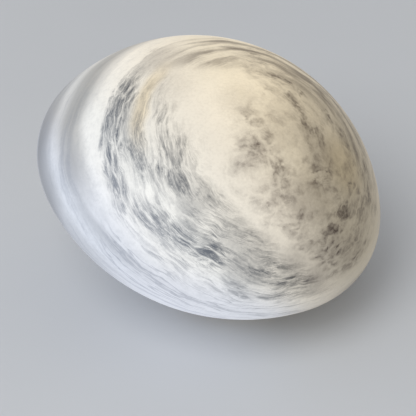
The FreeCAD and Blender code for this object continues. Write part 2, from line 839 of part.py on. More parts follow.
def bulb_led_board():
    """The round board on the housing's ledge."""
    body = turned_body("bulb_led_board", [("0", "0"), ("board_radius", "0"), ("board_radius", "board_thick"),
                                          ("0", "board_thick")])
    bind(body, z="globe_bottom - board_thick")
    return keep(body, "bulb_led_board")


def bulb_leds():
    """The light sources: a ring of small square chips on the board."""
    chips = []
    for index in range(round(number("chip_count"))):
        angle = f"({index} * 360 / chip_count)"
        chip = primitive("Box", f"chip_{index + 1}",
                         Length="chip_side", Width="chip_side", Height="chip_height",
                         x=f"chip_circle * cos({angle}) - chip_side / 2",
                         y=f"chip_circle * sin({angle}) - chip_side / 2", z="globe_bottom")
        chips.append(chip)
    return grouped("bulb_leds", chips)


def bulb_driver_board():
    """The upright board inside the cap."""
    half = "driver_width / 2"
    board = primitive("Box", "bulb_driver_board",
                      Length="driver_width", Width="board_thick", Height="driver_height",
                      x=f"-{half}", y="-board_thick / 2", z="lamp_cap_bottom + lamp_cap_wall")
    return keep(board, "bulb_driver_board")


def bulb_globe():
    """The thin round diffuser on the housing, open below."""
    body = new_body("bulb_globe")
    sketch = new_sketch(body, "wall")
    middle = Vector(0, number("globe_rise"), 0)
    up = Vector(0, 0, 1)
    for radius in ("bulb_radius", "bulb_radius - globe_wall"):
        start = -math.asin(number("globe_rise") / number(radius))
        arc = Part.ArcOfCircle(Part.Circle(middle, up, number(radius)), start, math.pi / 2)
        sketch.addGeometry(arc)
    outer_start = sketch.getPoint(0, 1)
    inner_start = sketch.getPoint(1, 1)
    sketch.addGeometry(Part.LineSegment(inner_start, outer_start))
    sketch.addGeometry(Part.LineSegment(sketch.getPoint(0, 2), sketch.getPoint(1, 2)))
    for first, first_end, second, second_end in ((2, 1, 1, 1), (2, 2, 0, 1), (3, 1, 0, 2), (3, 2, 1, 2)):
        sketch.addConstraint(Sketcher.Constraint("Coincident", first, first_end, second, second_end))
    hold_point(sketch, 0, 3, "0", "globe_rise")
    sketch.addConstraint(Sketcher.Constraint("Coincident", 1, 3, 0, 3))
    for arc in (0, 1):
        sketch.addConstraint(Sketcher.Constraint("PointOnObject", arc, 1, -1))
        sketch.addConstraint(Sketcher.Constraint("PointOnObject", arc, 2, -2))
    set_size(sketch, Sketcher.Constraint("Radius", 0, number("bulb_radius")), "bulb_radius")
    inner = "bulb_radius - globe_wall"
    set_size(sketch, Sketcher.Constraint("Radius", 1, number(inner)), inner)
    add_revolution(body, sketch)
    bind(body, z="globe_bottom")
    return keep(body, "bulb_globe")


# Wiring inside the base

WAYS = ("-way_pitch", "0", "way_pitch")


def terminal_block():
    """The three-way block under the plate: wire ways from side to side, and a screw well up to each."""
    across = "block_width / 2"
    along = "block_length / 2"
    body = new_body("terminal_block")
    outline = new_sketch(body, "outline", "XY_Plane")
    draw_polygon(outline, [
        (f"-{across}", f"-{along}"), (across, f"-{along}"), (across, along), (f"-{across}", along)])
    add_pad(body, outline, "block_height")
    wire_ways = new_sketch(body, "wire_ways", "YZ_Plane", f"-{across}")
    for way in WAYS:
        draw_circle(wire_ways, way, "block_height - way_drop", "way_radius")
    add_pocket(body, wire_ways, "block_width", outwards=True)
    wells = new_sketch(body, "screw_wells", "XY_Plane", "0")
    for way in WAYS:
        draw_circle(wells, "0", way, "terminal_radius")
    add_pocket(body, wells, "block_height - way_drop", outwards=True)
    fixing_holes = new_sketch(body, "fixing_holes", "XY_Plane", "0")
    for side in ("-way_pitch / 2", "way_pitch / 2"):
        draw_circle(fixing_holes, "0", side, "screw_radius + hole_clear")
    add_pocket(body, fixing_holes, "block_height", outwards=True)
    bind(body, x="-block_offset", z="block_bottom")
    return keep(body, "terminal_block")


def terminal_screws():
    """The clamping screws, each up its well as far as the wire way."""
    screws = []
    for index, way in enumerate(WAYS, start=1):
        screw = primitive("Cylinder", f"terminal_screw_{index}", Radius="terminal_radius - hole_clear",
                          Height="terminal_screw_length", x="-block_offset", y=way,
                          z="way_z - lead_radius - terminal_screw_length")
        screws.append(screw)
    return grouped("terminal_screws", screws)


def block_screws():
    """The two screws that hold the block to the plate."""
    screws = []
    for index, side in enumerate(("-way_pitch / 2", "way_pitch / 2"), start=1):
        corners = screw_corners("block_screw_head", "block_screw_head_height", "screw_radius",
                                "block_height + pan_wall")
        screw = turned_body(f"block_screw_{index}", corners)
        bind(screw, x="-block_offset", y=side, z="block_bottom")
        screws.append(screw)
    return grouped("block_screws", screws)


def earth_tag():
    """The ring tag under the plate, with a barrel that takes the earth lead."""
    body = new_body("earth_tag")
    ring = new_sketch(body, "ring", "XY_Plane")
    draw_circle(ring, "0", "0", "tag_radius")
    add_pad(body, ring, "tag_thick")
    barrel = new_sketch(body, "barrel", "XZ_Plane")
    barrel.setExpression("AttachmentOffset.Base.z", bound("-(earth_screw_head + hole_clear)"))
    draw_circle(barrel, "0", "tag_thick - barrel_radius", "barrel_radius")
    tube = add_pad(body, barrel, "tag_barrel")
    tube.Reversed = True
    lead_hole = new_sketch(body, "lead_hole", "XZ_Plane")
    lead_hole.setExpression("AttachmentOffset.Base.z", bound("-(tag_radius + tag_barrel)"))
    draw_circle(lead_hole, "0", "tag_thick - barrel_radius", "lead_radius + hole_clear")
    add_pocket(body, lead_hole, "tag_barrel - tag_thick", outwards=True)
    screw_hole = new_sketch(body, "screw_hole", "XY_Plane", "tag_thick")
    draw_circle(screw_hole, "0", "0", "earth_screw_radius + hole_clear")
    add_pocket(body, screw_hole, "tag_thick")
    bind(body, x="-earth_x", y="-earth_y", z="plate_bottom - tag_thick")
    return keep(body, "earth_tag")


def earth_screw():
    """The screw that holds the tag to the plate."""
    body = turned_body("earth_screw", screw_corners("earth_screw_head", "earth_screw_head_height",
                                                    "earth_screw_radius", "tag_thick + pan_wall"))
    bind(body, x="-earth_x", y="-earth_y", z="plate_bottom - tag_thick")
    return keep(body, "earth_screw")


def lead(label, points):
    """An insulated lead: runs through hand-chosen points, joined by arcs as large as the runs allow."""
    share_of_run = 0.45
    tolerance = 0.01
    edges = []
    start = points[0]
    for before, corner, after in zip(points, points[1:], points[2:]):
        back = before - corner
        ahead = after - corner
        shorter = min(back.Length, ahead.Length)
        cut = share_of_run * shorter
        arc_start = corner + back.normalize() * cut
        arc_end = corner + ahead.normalize() * cut
        half_turn = (math.pi - back.getAngle(ahead)) / 2
        arc_radius = cut / math.tan(half_turn)
        inward = (back + ahead).normalize()
        arc_middle = corner + inward * (arc_radius / math.cos(half_turn) - arc_radius)
        edges.append(Part.LineSegment(start, arc_start).toShape())
        edges.append(Part.Arc(arc_start, arc_middle, arc_end).toShape())
        start = arc_end
        print(f"{label}: arc radius {arc_radius:.1f}")
    edges.append(Part.LineSegment(start, points[-1]).toShape())
    route = Part.Wire(edges)
    radius = number("lead_radius")
    section = Part.Wire([Part.Circle(points[0], points[1] - points[0], radius).toShape()])
    solid = route.makePipeShell([section], True, False)
    expected = math.pi * radius ** 2 * route.Length
    if abs(solid.Volume / expected - 1) > tolerance:
        raise RuntimeError(f"{label} is not a whole tube")
    feature = doc.addObject("Part::Feature", label)
    feature.Shape = solid
    feature.Placement = Placement()
    return keep(feature, label)


def leads():
    """The four leads that the base holds all the way."""
    way_face = -number("block_offset") + number("block_width") / 2
    way_end = way_face - number("lead_entry")
    way_z = number("way_z")
    pitch = number("way_pitch")
    inlet_z = number("inlet_z")
    socket_z = number("insert_bottom + lead_socket")
    spread = number("lead_spread")
    turn = math.radians(number("switch_angle"))
    outwards = Vector(math.sin(turn), math.cos(turn), 0)
    sideways = Vector(math.cos(turn), -math.sin(turn), 0)
    switch_back = outwards * number("wall_inner - switch_gap - switch_depth") + Vector(0, 0, inlet_z)
    terminal = sideways * (number("lead_pitch") / 2)
    stub = outwards * number("lead_pitch")
    tag_end = Vector(-number("earth_x"), -number("earth_y - tag_radius - tag_thick"),
                     number("plate_bottom - barrel_radius"))
    tag_mouth = tag_end + Vector(0, number("tag_barrel"), 0)

    lead("feed_lead", [Vector(way_end, pitch, way_z), Vector(way_face + 7, pitch + 1, way_z - 1),
                       Vector(-2, 15, 17), Vector(9, 18, inlet_z + 0.6), switch_back - terminal - stub,
                       switch_back - terminal])
    lead("live_lead", [switch_back + terminal, switch_back + terminal - stub, Vector(11, 7, inlet_z + 0.4),
                       Vector(spread, 0, inlet_z + 0.7), Vector(spread, 0, socket_z)])
    lead("neutral_lead", [Vector(way_end, 0, way_z), Vector(way_face + 4, 0.6, way_z - 1.5),
                          Vector(-10.5, 1.2, 12.5), Vector(-spread, 0, 11.5), Vector(-spread, 0, socket_z)])
    lead("earth_lead", [Vector(way_end, -pitch, way_z), Vector(way_face + 2.5, -pitch, way_z + 0.3),
                        tag_mouth + Vector(-2.5, 4.2, -0.8), tag_mouth, tag_end])


def build():
    """Make every sub-part."""
    fill_sheet()
    alabaster_shade()
    shade_ring()
    shade_gasket()
    base_pan()
    bottom_cover()
    cover_screws()
    foot_pad()
    cord_gland()
    gland_nut()
    switch_body()
    switch_bezel()
    switch_button()
    threaded_nipple()
    nipple_fixings()
    lampholder_cap()
    lampholder_insert()
    centre_contact()
    holder_screw_shell()
    lampholder_skirt()
    bulb_contact()
    bulb_insulator()
    bulb_cap()
    bulb_housing()
    bulb_led_board()
    bulb_leds()
    bulb_driver_board()
    bulb_globe()
    terminal_block()
    terminal_screws()
    block_screws()
    earth_tag()
    earth_screw()
    leads()
    doc.recompute()


def check_and_write():
    """Stop on anything that failed, then write each sub-part under its own name."""
    for thing in doc.Objects:
        if "Invalid" in thing.State or "Error" in thing.State:
            raise RuntimeError(f"{thing.Label} failed: {thing.State}")
    for part in sub_parts:
        if part.Shape.isNull() or not part.Shape.isValid() or not part.Shape.Solids:
            raise RuntimeError(f"{part.Label} has no valid solid")
    os.makedirs("parts", exist_ok=True)
    for part in sub_parts:
        part.Shape.exportStep(f"parts/{part.Label}.step")
        print(f"{part.Label}: {len(part.Shape.Solids)} solids, {part.Shape.Volume / 1000:.2f} cm3")


build()
check_and_write()
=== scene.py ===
import json
import math

import bpy
from mathutils import Matrix, Vector


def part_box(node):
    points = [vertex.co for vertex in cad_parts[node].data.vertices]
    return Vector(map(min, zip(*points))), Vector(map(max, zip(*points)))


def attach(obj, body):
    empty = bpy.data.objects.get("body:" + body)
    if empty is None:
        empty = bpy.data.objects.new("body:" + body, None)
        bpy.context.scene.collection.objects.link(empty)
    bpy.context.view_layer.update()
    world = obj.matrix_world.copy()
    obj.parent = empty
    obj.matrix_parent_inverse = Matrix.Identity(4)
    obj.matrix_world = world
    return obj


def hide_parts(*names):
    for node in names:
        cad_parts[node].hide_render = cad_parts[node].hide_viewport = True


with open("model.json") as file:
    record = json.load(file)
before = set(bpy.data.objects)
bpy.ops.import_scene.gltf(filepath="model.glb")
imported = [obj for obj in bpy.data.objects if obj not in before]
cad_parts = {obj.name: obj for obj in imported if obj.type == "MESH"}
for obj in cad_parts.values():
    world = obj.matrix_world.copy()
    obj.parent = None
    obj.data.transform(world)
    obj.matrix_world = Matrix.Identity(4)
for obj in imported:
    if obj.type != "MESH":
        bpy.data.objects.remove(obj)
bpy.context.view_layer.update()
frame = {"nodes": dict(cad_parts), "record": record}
nodes = frame["nodes"]

# Alabaster table lamp, in metres: a glowing stone oval that leans to the right on a low brass base.

MM = 0.001

# Camera: a long lens that looks down on the lamp from the front
CAMERA_PLACE = Vector((-29.7, -2063.2, 1566.3)) * MM
CAMERA_AIM = Vector((-29.7, -12.3, 76.25)) * MM
CAMERA_REACH = 50
FOCAL_PIXELS = 3000
IMAGE_PIXELS = 416
SENSOR_WIDTH = 36

# Key light: a round soft light from the upper left
KEY_PLACE = Vector((-0.9, -1.3, 2.1))
KEY_AIM = Vector((0, 0, 0.1))
KEY_SIZE = 1.6
KEY_POWER = 24

# World: the light that it gives, and how bright it looks
WORLD_LIGHT = 0.55
WORLD_SEEN = 0.8

# Floor: half its width, its top just under the foot pad, and the size of its speckle
FLOOR_HALF = 6.0
FLOOR_TOP = -0.3 * MM
FLOOR_SPECKLE = 0.4

# Edges of the turned pieces that bend by more than this many degrees stay sharp
SHARP_ANGLE = 35

# Thread of the bulb's cap and its sleeve: the pitch in millimetres, and the rows and segments that draw it
CAP_PITCH = 3.62
CAP_ROWS = 60
CAP_SEGMENTS = 72

# Stone: the middle of its widest ring, the normal of its layers and the plane of its plain cream seam
STONE_CENTRE = Vector((-28.3, 0, 93.2)) * MM
LAYER_NORMAL = Vector((0.415, -0.39, 0.822)).normalized()
LAYER_TURN = LAYER_NORMAL.rotation_difference(Vector((0, 0, 1)))
SEAM_NORMAL = Vector((0.75, 0.089, 0.656)).normalized()
SEAM_HEIGHT = 58 * MM

# Patterns of the stone are pressed flat across its layers by this factor
PRESSED = 4.6

# The stone's painted light colour turns from cool light to warm glow in a direction, from a place in
# millimetres and over a span
WARM_DIRECTION = Vector((0.8, 0.353, 0.485)).normalized()
COOL_END = -95
WARM_SPAN = 200

# Other directions from the stone's middle: back, right, the lower front, the lower right and the foot
BACK = (0, 1, 0)
RIGHT = (1, 0, 0)
FRONT_BELOW = (-0.2, -0.75, -0.63)
RIGHT_BELOW = (0.8, -0.3, -0.5)
FOOT = (-0.55, 0, -0.83)

# How bright the stone glows, and the share of its colour that it reflects besides
STONE_GLOW = 0.78
STONE_REFLECTS = 0.42

# Brightness of the plain lower layers: the height in millimetres and the share of the full tone
LAYER_TONES = [(-124, 0.78), (-112, 0.66), (-100, 0.86), (-84, 0.64), (-64, 0.84), (-50, 0.6), (-40, 0.7),
               (-22, 0.34), (-4, 0.57), (5, 0.83), (10, 0.77), (17, 0.54), (25, 0.5), (31, 0.62), (38, 0.98),
               (44, 1.0)]

# Dark clouds of the stone: the place in millimetres, the reach along the layers and the strength
CLOUDS = [((-105, -35, 195), 60, 1.0), ((-94, -80, 183), 50, 0.8), ((-105, -95, 165), 45, 0.9),
          ((-50, -100, 175), 50, 0.8), ((-64, -108, 168), 36, 0.65), ((-55, -135, 135), 55, 1.0),
          ((-30, -140, 130), 50, 1.0), ((5, -135, 125), 45, 0.9), ((30, -135, 105), 50, 1.0),
          ((40, -130, 85), 60, 1.0), ((50, -90, 145), 50, 0.65), ((80, -60, 135), 40, 0.8),
          ((80, -85, 115), 50, 0.75), ((70, -105, 100), 50, 0.8), ((90, -90, 80), 45, 0.9),
          ((110, -20, 110), 50, 0.7), ((60, 0, 175), 35, 0.9), ((85, -15, 150), 40, 0.6),
          ((5, -75, 185), 35, 0.4), ((-20, 22, 208), 70, 0.4), ((29, -90, 163), 40, 0.6),
          ((10, -84, 177), 32, 0.8), ((62, -72, 149), 36, 0.9), ((54, -97, 136), 34, 1.0),
          ((54, -25, 176), 40, 1.0), ((42, 8, 188), 36, 0.8), ((12, -140, 107), 30, 0.9),
          ((-84, -118, 151), 30, 0.8), ((48, -112, 116), 34, 1.0)]

# Clear places between the clouds: the place in millimetres, the reach along the layers and the strength
CLEARINGS = [((-60, -116, 160), 30, 0.55), ((-42, -131, 143), 30, 0.45), ((-92, -97, 169), 30, 0.45),
             ((-92, -60, 190), 26, 0.5), ((-117, -38, 187), 26, 0.7), ((-60, -90, 182), 30, 0.3),
             ((25, -140, 87), 34, 0.4), ((34, -109, 140), 20, 0.3), ((80, -35, 150), 30, 0.7)]

# Smooth hazes in the cream: the place in millimetres, the reach and the strength, and the share of their core
HAZE_CORE = 0.2
HAZES = [((31, -44, 187), 42, 0.2), ((-65, -25, 201), 34, 0.14), ((-87, 15, 200), 36, 0.15),
         ((4, -136, 114), 38, 0.46), ((-78, 20, 206), 40, 0.3), ((-4, -37, 203), 30, 0.18),
         ((-40, -117, 161), 24, 0.36), ((52, -91, 142), 34, 0.34), ((62, -54, 162), 34, 0.3),
         ((36, -130, 101), 28, 0.36), ((55, -122, 80), 26, 0.36), ((-6, -133, 132), 26, 0.4)]


def mm(*values):
    """Millimetres as a tuple of metres."""
    return tuple(value * MM for value in values)


def grey(share):
    """A neutral colour."""
    return (share, share, share, 1)


def tone(red, green, blue):
    """A colour written as it looks on a screen, from 0 to 255, as the linear colour that shaders take."""
    def linear(value):
        share = value / 255
        return share / 12.92 if share <= 0.04045 else ((share + 0.055) / 1.055) ** 2.4
    return (linear(red), linear(green), linear(blue), 1)


class Finish:
    """A node material that is being built up from its shader."""

    def __init__(self, name):
        self.material = bpy.data.materials.new(name)
        self.material.use_nodes = True
        self.tree = self.material.node_tree
        self.shader = self.tree.nodes["Principled BSDF"]
        self.place = self.add("ShaderNodeTexCoord").outputs["Object"]

    def add(self, kind, **settings):
        """A new node with the given settings."""
        node = self.tree.nodes.new(kind)
        for name, value in settings.items():
            setattr(node, name, value)
        return node

    def feed(self, socket, value):
        """Link another node's output to a socket, or set the socket's own value."""
        if isinstance(value, bpy.types.NodeSocket):
            self.tree.links.new(value, socket)
        else:
            socket.default_value = value

    def set(self, **values):
        """Set or link inputs of the shader, named in small letters."""
        for name, value in values.items():
            self.feed(self.shader.inputs[name.replace("_", " ").title().replace("Ior", "IOR")], value)

    def fed(self, node, values):
        """A node with its named inputs linked or set."""
        for name, value in values.items():
            self.feed(node.inputs[name], value)
        return node

    def math(self, operation, first, second=0.0, third=0.0, clamp=False):
        """One operation on up to three values."""
        node = self.add("ShaderNodeMath", operation=operation, use_clamp=clamp)
        for socket, value in zip(node.inputs, (first, second, third)):
            self.feed(socket, value)
        return node.outputs[0]

    def plus(self, first, second, clamp=False):
        return self.math("ADD", first, second, clamp=clamp)

    def minus(self, first, second, clamp=False):
        return self.math("SUBTRACT", first, second, clamp=clamp)

    def times(self, first, second, clamp=False):
        return self.math("MULTIPLY", first, second, clamp=clamp)

    def line(self, value, slope, offset, clamp=False):
        """A value times a slope, plus an offset."""
        return self.math("MULTIPLY_ADD", value, slope, offset, clamp)

    def most(self, first, second):
        """The larger of two values."""
        return self.math("MAXIMUM", first, second)

    def apart(self, first, second):
        """How far two values lie apart."""
        return self.math("ABSOLUTE", self.minus(first, second))

    def swing(self, noise, reach):
        """A noise that swings about 0, over a reach."""
        return self.times(self.minus(noise, 0.5), reach)

    def vector(self, operation, first, second=(0, 0, 0)):
        """One operation on vectors, which gives a vector or a number."""
        node = self.add("ShaderNodeVectorMath", operation=operation)
        self.feed(node.inputs[0], first)
        self.feed(node.inputs[1], second)
        return node.outputs["Value" if operation in ("DOT_PRODUCT", "DISTANCE", "LENGTH") else "Vector"]

    def scaled(self, vector, factors):
        """A vector with each of its parts multiplied."""
        return self.vector("MULTIPLY", vector, factors)

    def height_of(self, vector):
        """The upright part of a vector."""
        return self.vector("DOT_PRODUCT", vector, (0, 0, 1))

    def step(self, value, span, ends=(0.0, 1.0)):
        """A smooth step from one end to the other as the value goes through a span."""
        node = self.add("ShaderNodeMapRange", interpolation_type="SMOOTHSTEP")
        for socket, item in zip(node.inputs, (value, *span, *ends)):
            self.feed(socket, item)
        return node.outputs[0]

    def noise(self, vector, size, detail=4.0, roughness=0.5, distortion=0.0, output="Fac"):
        """Cloudy noise whose largest features have about the given size."""
        values = {"Vector": vector, "Scale": 1 / size, "Detail": detail, "Roughness": roughness,
                  "Distortion": distortion}
        return self.fed(self.add("ShaderNodeTexNoise"), values).outputs[output]

    def noise_vector(self, vector, size, detail):
        """Three noises at once, each about 0, for pushing places about."""
        return self.vector("SUBTRACT", self.noise(vector, size, detail, output="Color"), (0.5, 0.5, 0.5))

    def pushed(self, vector, size, reach, detail=2.0):
        """Places pushed about by noises, up to half a reach each way."""
        push = self.scaled(self.noise_vector(vector, size, detail), (reach, reach, reach))
        return self.vector("ADD", vector, push)

    def cells(self, vector, size, feature="F1"):
        """Distance from the nearest middle, or another feature, in a pattern of cells."""
        node = self.add("ShaderNodeTexVoronoi", feature=feature)
        return self.fed(node, {"Vector": vector, "Scale": 1 / size}).outputs["Distance"]

    def cell_edges(self, vector, size):
        """Distance from the nearest edge in a pattern of cells."""
        return self.cells(vector, size, "DISTANCE_TO_EDGE")

    def ramp(self, factor, stops):
        """A colour that follows stops of (position, colour)."""
        node = self.add("ShaderNodeValToRGB")
        elements = node.color_ramp.elements
        while len(elements) < len(stops):
            elements.new(1.0)
        for element, (position, colour) in zip(elements, stops):
            element.position = position
            element.color = colour
        self.feed(node.inputs["Fac"], factor)
        return node.outputs["Color"]

    def mix(self, factor, first, second, blend="MIX"):
        """One colour laid over another."""
        node = self.add("ShaderNodeMix", data_type="RGBA", blend_type=blend)
        first_colour, second_colour, result = 6, 7, 2
        self.feed(node.inputs[0], factor)
        self.feed(node.inputs[first_colour], first)
        self.feed(node.inputs[second_colour], second)
        return node.outputs[result]

    def shaded(self, factor, colour, shade):
        """A colour multiplied by a shade."""
        return self.mix(factor, colour, shade, "MULTIPLY")

    def bump(self, height, depth, strength=1.0):
        """Let the surface follow a height from 0 to 1 over a depth."""
        values = {"Strength": strength, "Distance": depth, "Height": height}
        self.set(normal=self.fed(self.add("ShaderNodeBump"), values).outputs["Normal"])


# Stone

class Stone(Finish):
    """The stone's finish, with the places and heights that its patterns follow."""

    def __init__(self):
        super().__init__("alabaster")
        self.local = self.vector("SUBTRACT", self.place, tuple(STONE_CENTRE))
        self.depth = self.along(BACK)
        self.lay_down()
        away = self.minus(self.along(SEAM_NORMAL), SEAM_HEIGHT)
        self.from_seam = self.plus(away, self.swing(self.noise(self.pressed, 50 * MM), 36 * MM))

    def along(self, direction):
        """How far a place lies from the stone's middle in a direction."""
        return self.vector("DOT_PRODUCT", self.local, tuple(direction))

    def near(self, place, core, reach, strength):
        """A soft round patch at a place, full in its core and gone at its reach, all in millimetres."""
        away = self.vector("DISTANCE", self.place, tuple(Vector(place) * MM))
        return self.step(away, mm(core, reach), (strength, 0.0))

    def lay_down(self):
        """Places in the frame of the layers, with the third part across them.

        Level places are straight, layered ones drift so that no layer is, and pressed ones are stretched
        across the layers. The height follows the layered places, and the calm height the level ones.
        """
        values = {"Vector": self.local, "Rotation": LAYER_TURN.to_euler()}
        self.level = self.fed(self.add("ShaderNodeMapping"), values).outputs["Vector"]
        drift = self.scaled(self.noise_vector(self.local, 60 * MM, 3), mm(30, 30, 16))
        self.layered = self.vector("ADD", self.level, drift)
        self.pressed = self.scaled(self.layered, (1, 1, PRESSED))
        self.height = self.height_of(self.layered)
        waves = self.line(self.noise(self.local, 60 * MM, detail=2), 6 * MM, -3 * MM)
        self.calm = self.plus(waves, self.height_of(self.level))


def alabaster():
    """Layered alabaster, lit from inside: white bands, grey and brown mottles, and a plain cream seam."""
    stone = Stone()
    dark = darkness(stone)
    # Painted light colour: cool light at the lower left and a warm glow towards the right.
    light_tint = stone.line(stone.along(WARM_DIRECTION), 1 / (WARM_SPAN * MM), -COOL_END / WARM_SPAN, clamp=True)
    pale = surface_marks(stone, lower_layers(stone, pale_tones(stone, light_tint)))
    colour = stone.mix(dark, pale, deep_tones(stone, light_tint))
    lit = stone.shaded(1.0, colour, inner_light(stone))
    # The reflected colour carries the inner light too, as painted light: brighter near the foot and dimmer to
    # the right.
    stone.set(base_color=stone.shaded(1.0, lit, grey(STONE_REFLECTS)), emission_color=lit,
              emission_strength=STONE_GLOW, specular_ior_level=0.3,
              roughness=stone.step(dark, (0, 1), (0.3, 0.42)))
    stone.bump(stone.noise(stone.pressed, 12 * MM, detail=5, roughness=0.6), 0.2 * MM, 0.3)
    return stone.material


def darkness(stone):
    """How dark a place is: mottled above the white band, streaked below it, with fine crystals all over."""
    ragged = stone.swing(stone.noise(stone.pressed, 26 * MM, detail=5, roughness=0.6), 26 * MM)
    edge = stone.minus(ragged, stone.step(stone.depth, mm(-90, -40), mm(0, 2)))
    above_band = stone.step(stone.plus(stone.calm, edge), mm(54, 60))
    dark = stone.most(stone.times(mottling(stone), above_band), lower_lines(stone))
    crystals = stone.line(stone.noise(stone.place, 2.2 * MM, detail=3, roughness=0.6), 0.3, -0.15)
    return stone.plus(dark, crystals, clamp=True)


def mottling(stone):
    """Streaks at the left of the seam and soft blotches beyond it, both thickest in the clouds."""
    left = stone.step(stone.from_seam, mm(-22, -4), (1.0, 0.06))
    seam_width = stone.step(stone.depth, mm(-115, -20), mm(-12, 27))
    past_seam = stone.minus(stone.from_seam, seam_width)
    beyond = stone.step(past_seam, mm(2, 16))
    closed = stone.minus(1, cloud_cover(stone, CLEARINGS))
    clouds = stone.times(cloud_cover(stone, CLOUDS), closed)
    patches = stone.step(stone.noise(stone.pressed, 70 * MM, detail=3), (0.35, 0.65), (0.35, 0.75))
    cover = stone.plus(stone.times(patches, closed), stone.times(clouds, 0.55), clamp=True)
    spots, veil = mottles(stone, 21 * MM)
    marks = stone.most(stone.times(spots, left), stone.times(smoke(stone), beyond))
    marks = stone.most(stone.times(marks, cover), layer_edges(stone, past_seam))
    softness = stone.most(stone.times(left, 0.6), stone.times(beyond, 0.24))
    soft = stone.times(stone.times(clouds, softness), veil)
    for place, reach, strength in HAZES:
        soft = stone.most(soft, stone.near(place, HAZE_CORE * reach, reach, strength))
    return stone.plus(soft, stone.times(marks, stone.minus(1, soft)))


def mottles(stone, size):
    """Dark grains between the threads of a pale web, from 0, clear, to 1, and the veil that the web makes."""
    drawn = stone.scaled(stone.pressed, (0.72, 0.72, 1))
    woven = stone.pushed(drawn, 0.9 * size, size, detail=5)
    grains = stone.step(stone.noise(woven, 1.5 * size, detail=7, roughness=0.56), (0.28, 0.58))
    broken = stone.step(stone.noise(drawn, 1.3 * size, roughness=0.6), (0.46, 0.68))
    web = stone.most(stone.step(stone.cell_edges(woven, size), (0.0, 0.24)), broken)
    fine_web = stone.step(stone.cell_edges(woven, 0.4 * size), (0.0, 0.25))
    shifted = stone.vector("ADD", woven, (0.1, 0.2, 0.3))
    threads = stone.most(hairs(stone, woven, size, 0.045), hairs(stone, shifted, 0.6 * size, 0.03))
    spots = stone.times(grains, stone.line(web, 0.6, 0.4))
    spots = stone.times(spots, stone.line(fine_web, 0.25, 0.75))
    spots = stone.minus(spots, stone.times(threads, 0.32), clamp=True)
    veil = stone.times(stone.line(web, 0.35, 0.65), stone.line(threads, -0.55, 1.0))
    return spots, veil


def hairs(stone, place, size, width):
    """Thin wavy lines along the layers, where a noise crosses its middle."""
    lines = stone.noise(stone.scaled(place, (0.5, 0.5, 1.6)), size, detail=6, roughness=0.6)
    return stone.step(stone.apart(lines, 0.5), (0.0, width), (1.0, 0.0))


def smoke(stone):
    """Soft round blotches over a faint haze, with a broken paler web, from 0, clear, to 1, dark."""
    place = stone.scaled(stone.layered, (1, 1, 2.5))
    curled = stone.pushed(place, 10 * MM, 9 * MM, detail=5)
    haze = stone.step(stone.noise(place, 44 * MM, detail=3), (0.28, 0.56))
    blotches = stone.step(stone.noise(curled, 28 * MM, detail=5, roughness=0.52), (0.34, 0.55))
    cores = stone.step(stone.noise(curled, 11 * MM, detail=5, roughness=0.6), (0.38, 0.68))
    broken = stone.step(stone.noise(place, 22 * MM, roughness=0.6), (0.44, 0.62))
    web = stone.most(stone.step(stone.cell_edges(curled, 15 * MM), (0.0, 0.22), (0.42, 1.0)), broken)
    grain = stone.step(stone.noise(place, 3.5 * MM, detail=3), (0.4, 0.7), (0.8, 1.14))
    spots = stone.line(haze, 0.2, stone.times(blotches, stone.line(cores, 0.46, 0.36)))
    return stone.times(stone.times(spots, web), grain, clamp=True)


def layer_edges(stone, past_seam):
    """Thin dark lines where layers come out edge-on: far beyond the seam and behind, but not on top."""
    behind = stone.step(stone.depth, mm(-12, 10))
    behind = stone.times(behind, stone.step(stone.from_seam, mm(-10, 25), (0.4, 1)))
    edge_on = stone.most(stone.step(past_seam, mm(26, 42)), behind)
    edge_on = stone.times(edge_on, stone.step(stone.height, mm(94, 112), (1, 0)))
    drawn = stone.scaled(stone.layered, (0.3, 0.3, 3.0))
    lines = stone.noise(drawn, 22 * MM, detail=5, roughness=0.58, distortion=0.2)
    return stone.times(edge_on, stone.step(lines, (0.38, 0.66), (0.0, 0.8)))


def lower_lines(stone):
    """Darker streaks along the plain layers, soft at the side and thin at the front."""
    drawn = stone.scaled(stone.layered, (0.25, 0.25, 3.4))
    broad = stone.step(stone.noise(drawn, 26 * MM, detail=6, roughness=0.6, distortion=0.2), (0.46, 0.72))
    broad = stone.times(broad, stone.step(stone.calm, mm(26, 44), (0.36, 0.05)))
    crossing = stone.apart(stone.noise(drawn, 34 * MM, detail=5, roughness=0.55), 0.5)
    thin = stone.step(crossing, (0.0, 0.03), (0.4, 0.0))
    thin = stone.times(thin, stone.step(stone.calm, mm(54, 60), (1.0, 0.0)))
    thin = stone.times(thin, stone.step(stone.depth, mm(-128, -108), (1.0, 0.0)))
    return stone.most(broad, thin)


def cloud_cover(stone, spread):
    """How deep a place lies in clouds, which reach further along the stone's layers than across them."""
    core_share = 0.25
    flat = stone.scaled(stone.level, (1, 1, PRESSED))
    ragged = stone.swing(stone.noise(flat, 22 * MM), 36 * MM)
    cover = 0.0
    for place, reach, strength in spread:
        middle = LAYER_TURN @ (Vector(place) * MM - STONE_CENTRE)
        middle.z *= PRESSED
        away = stone.plus(stone.vector("DISTANCE", flat, tuple(middle)), ragged)
        cover = stone.most(cover, stone.step(away, mm(core_share * reach, reach), (strength, 0.0)))
    return cover


def pale_tones(stone, light_tint):
    """Clear stone with painted light colour: cool light at the lower left, cream in the middle and a warm
    beige glow at the right.
    """
    return stone.ramp(light_tint, [
        (0.0, tone(221, 227, 238)), (0.06, tone(227, 231, 239)), (0.15, tone(236, 237, 237)),
        (0.28, tone(244, 244, 240)), (0.5, tone(253, 246, 232)), (0.62, tone(251, 241, 222)),
        (0.8, tone(244, 230, 202)), (1.0, tone(238, 221, 188))])


def deep_tones(stone, light_tint):
    """Dark stone with painted light colour: blue-grey under the cool light at the lower left, and browner
    under the warm glow to the right.
    """
    return stone.ramp(light_tint, [
        (0.0, tone(118, 127, 145)), (0.28, tone(104, 110, 120)), (0.5, tone(98, 98, 98)),
        (0.62, tone(104, 92, 86)), (0.8, tone(100, 84, 70)), (1.0, tone(94, 78, 60))])


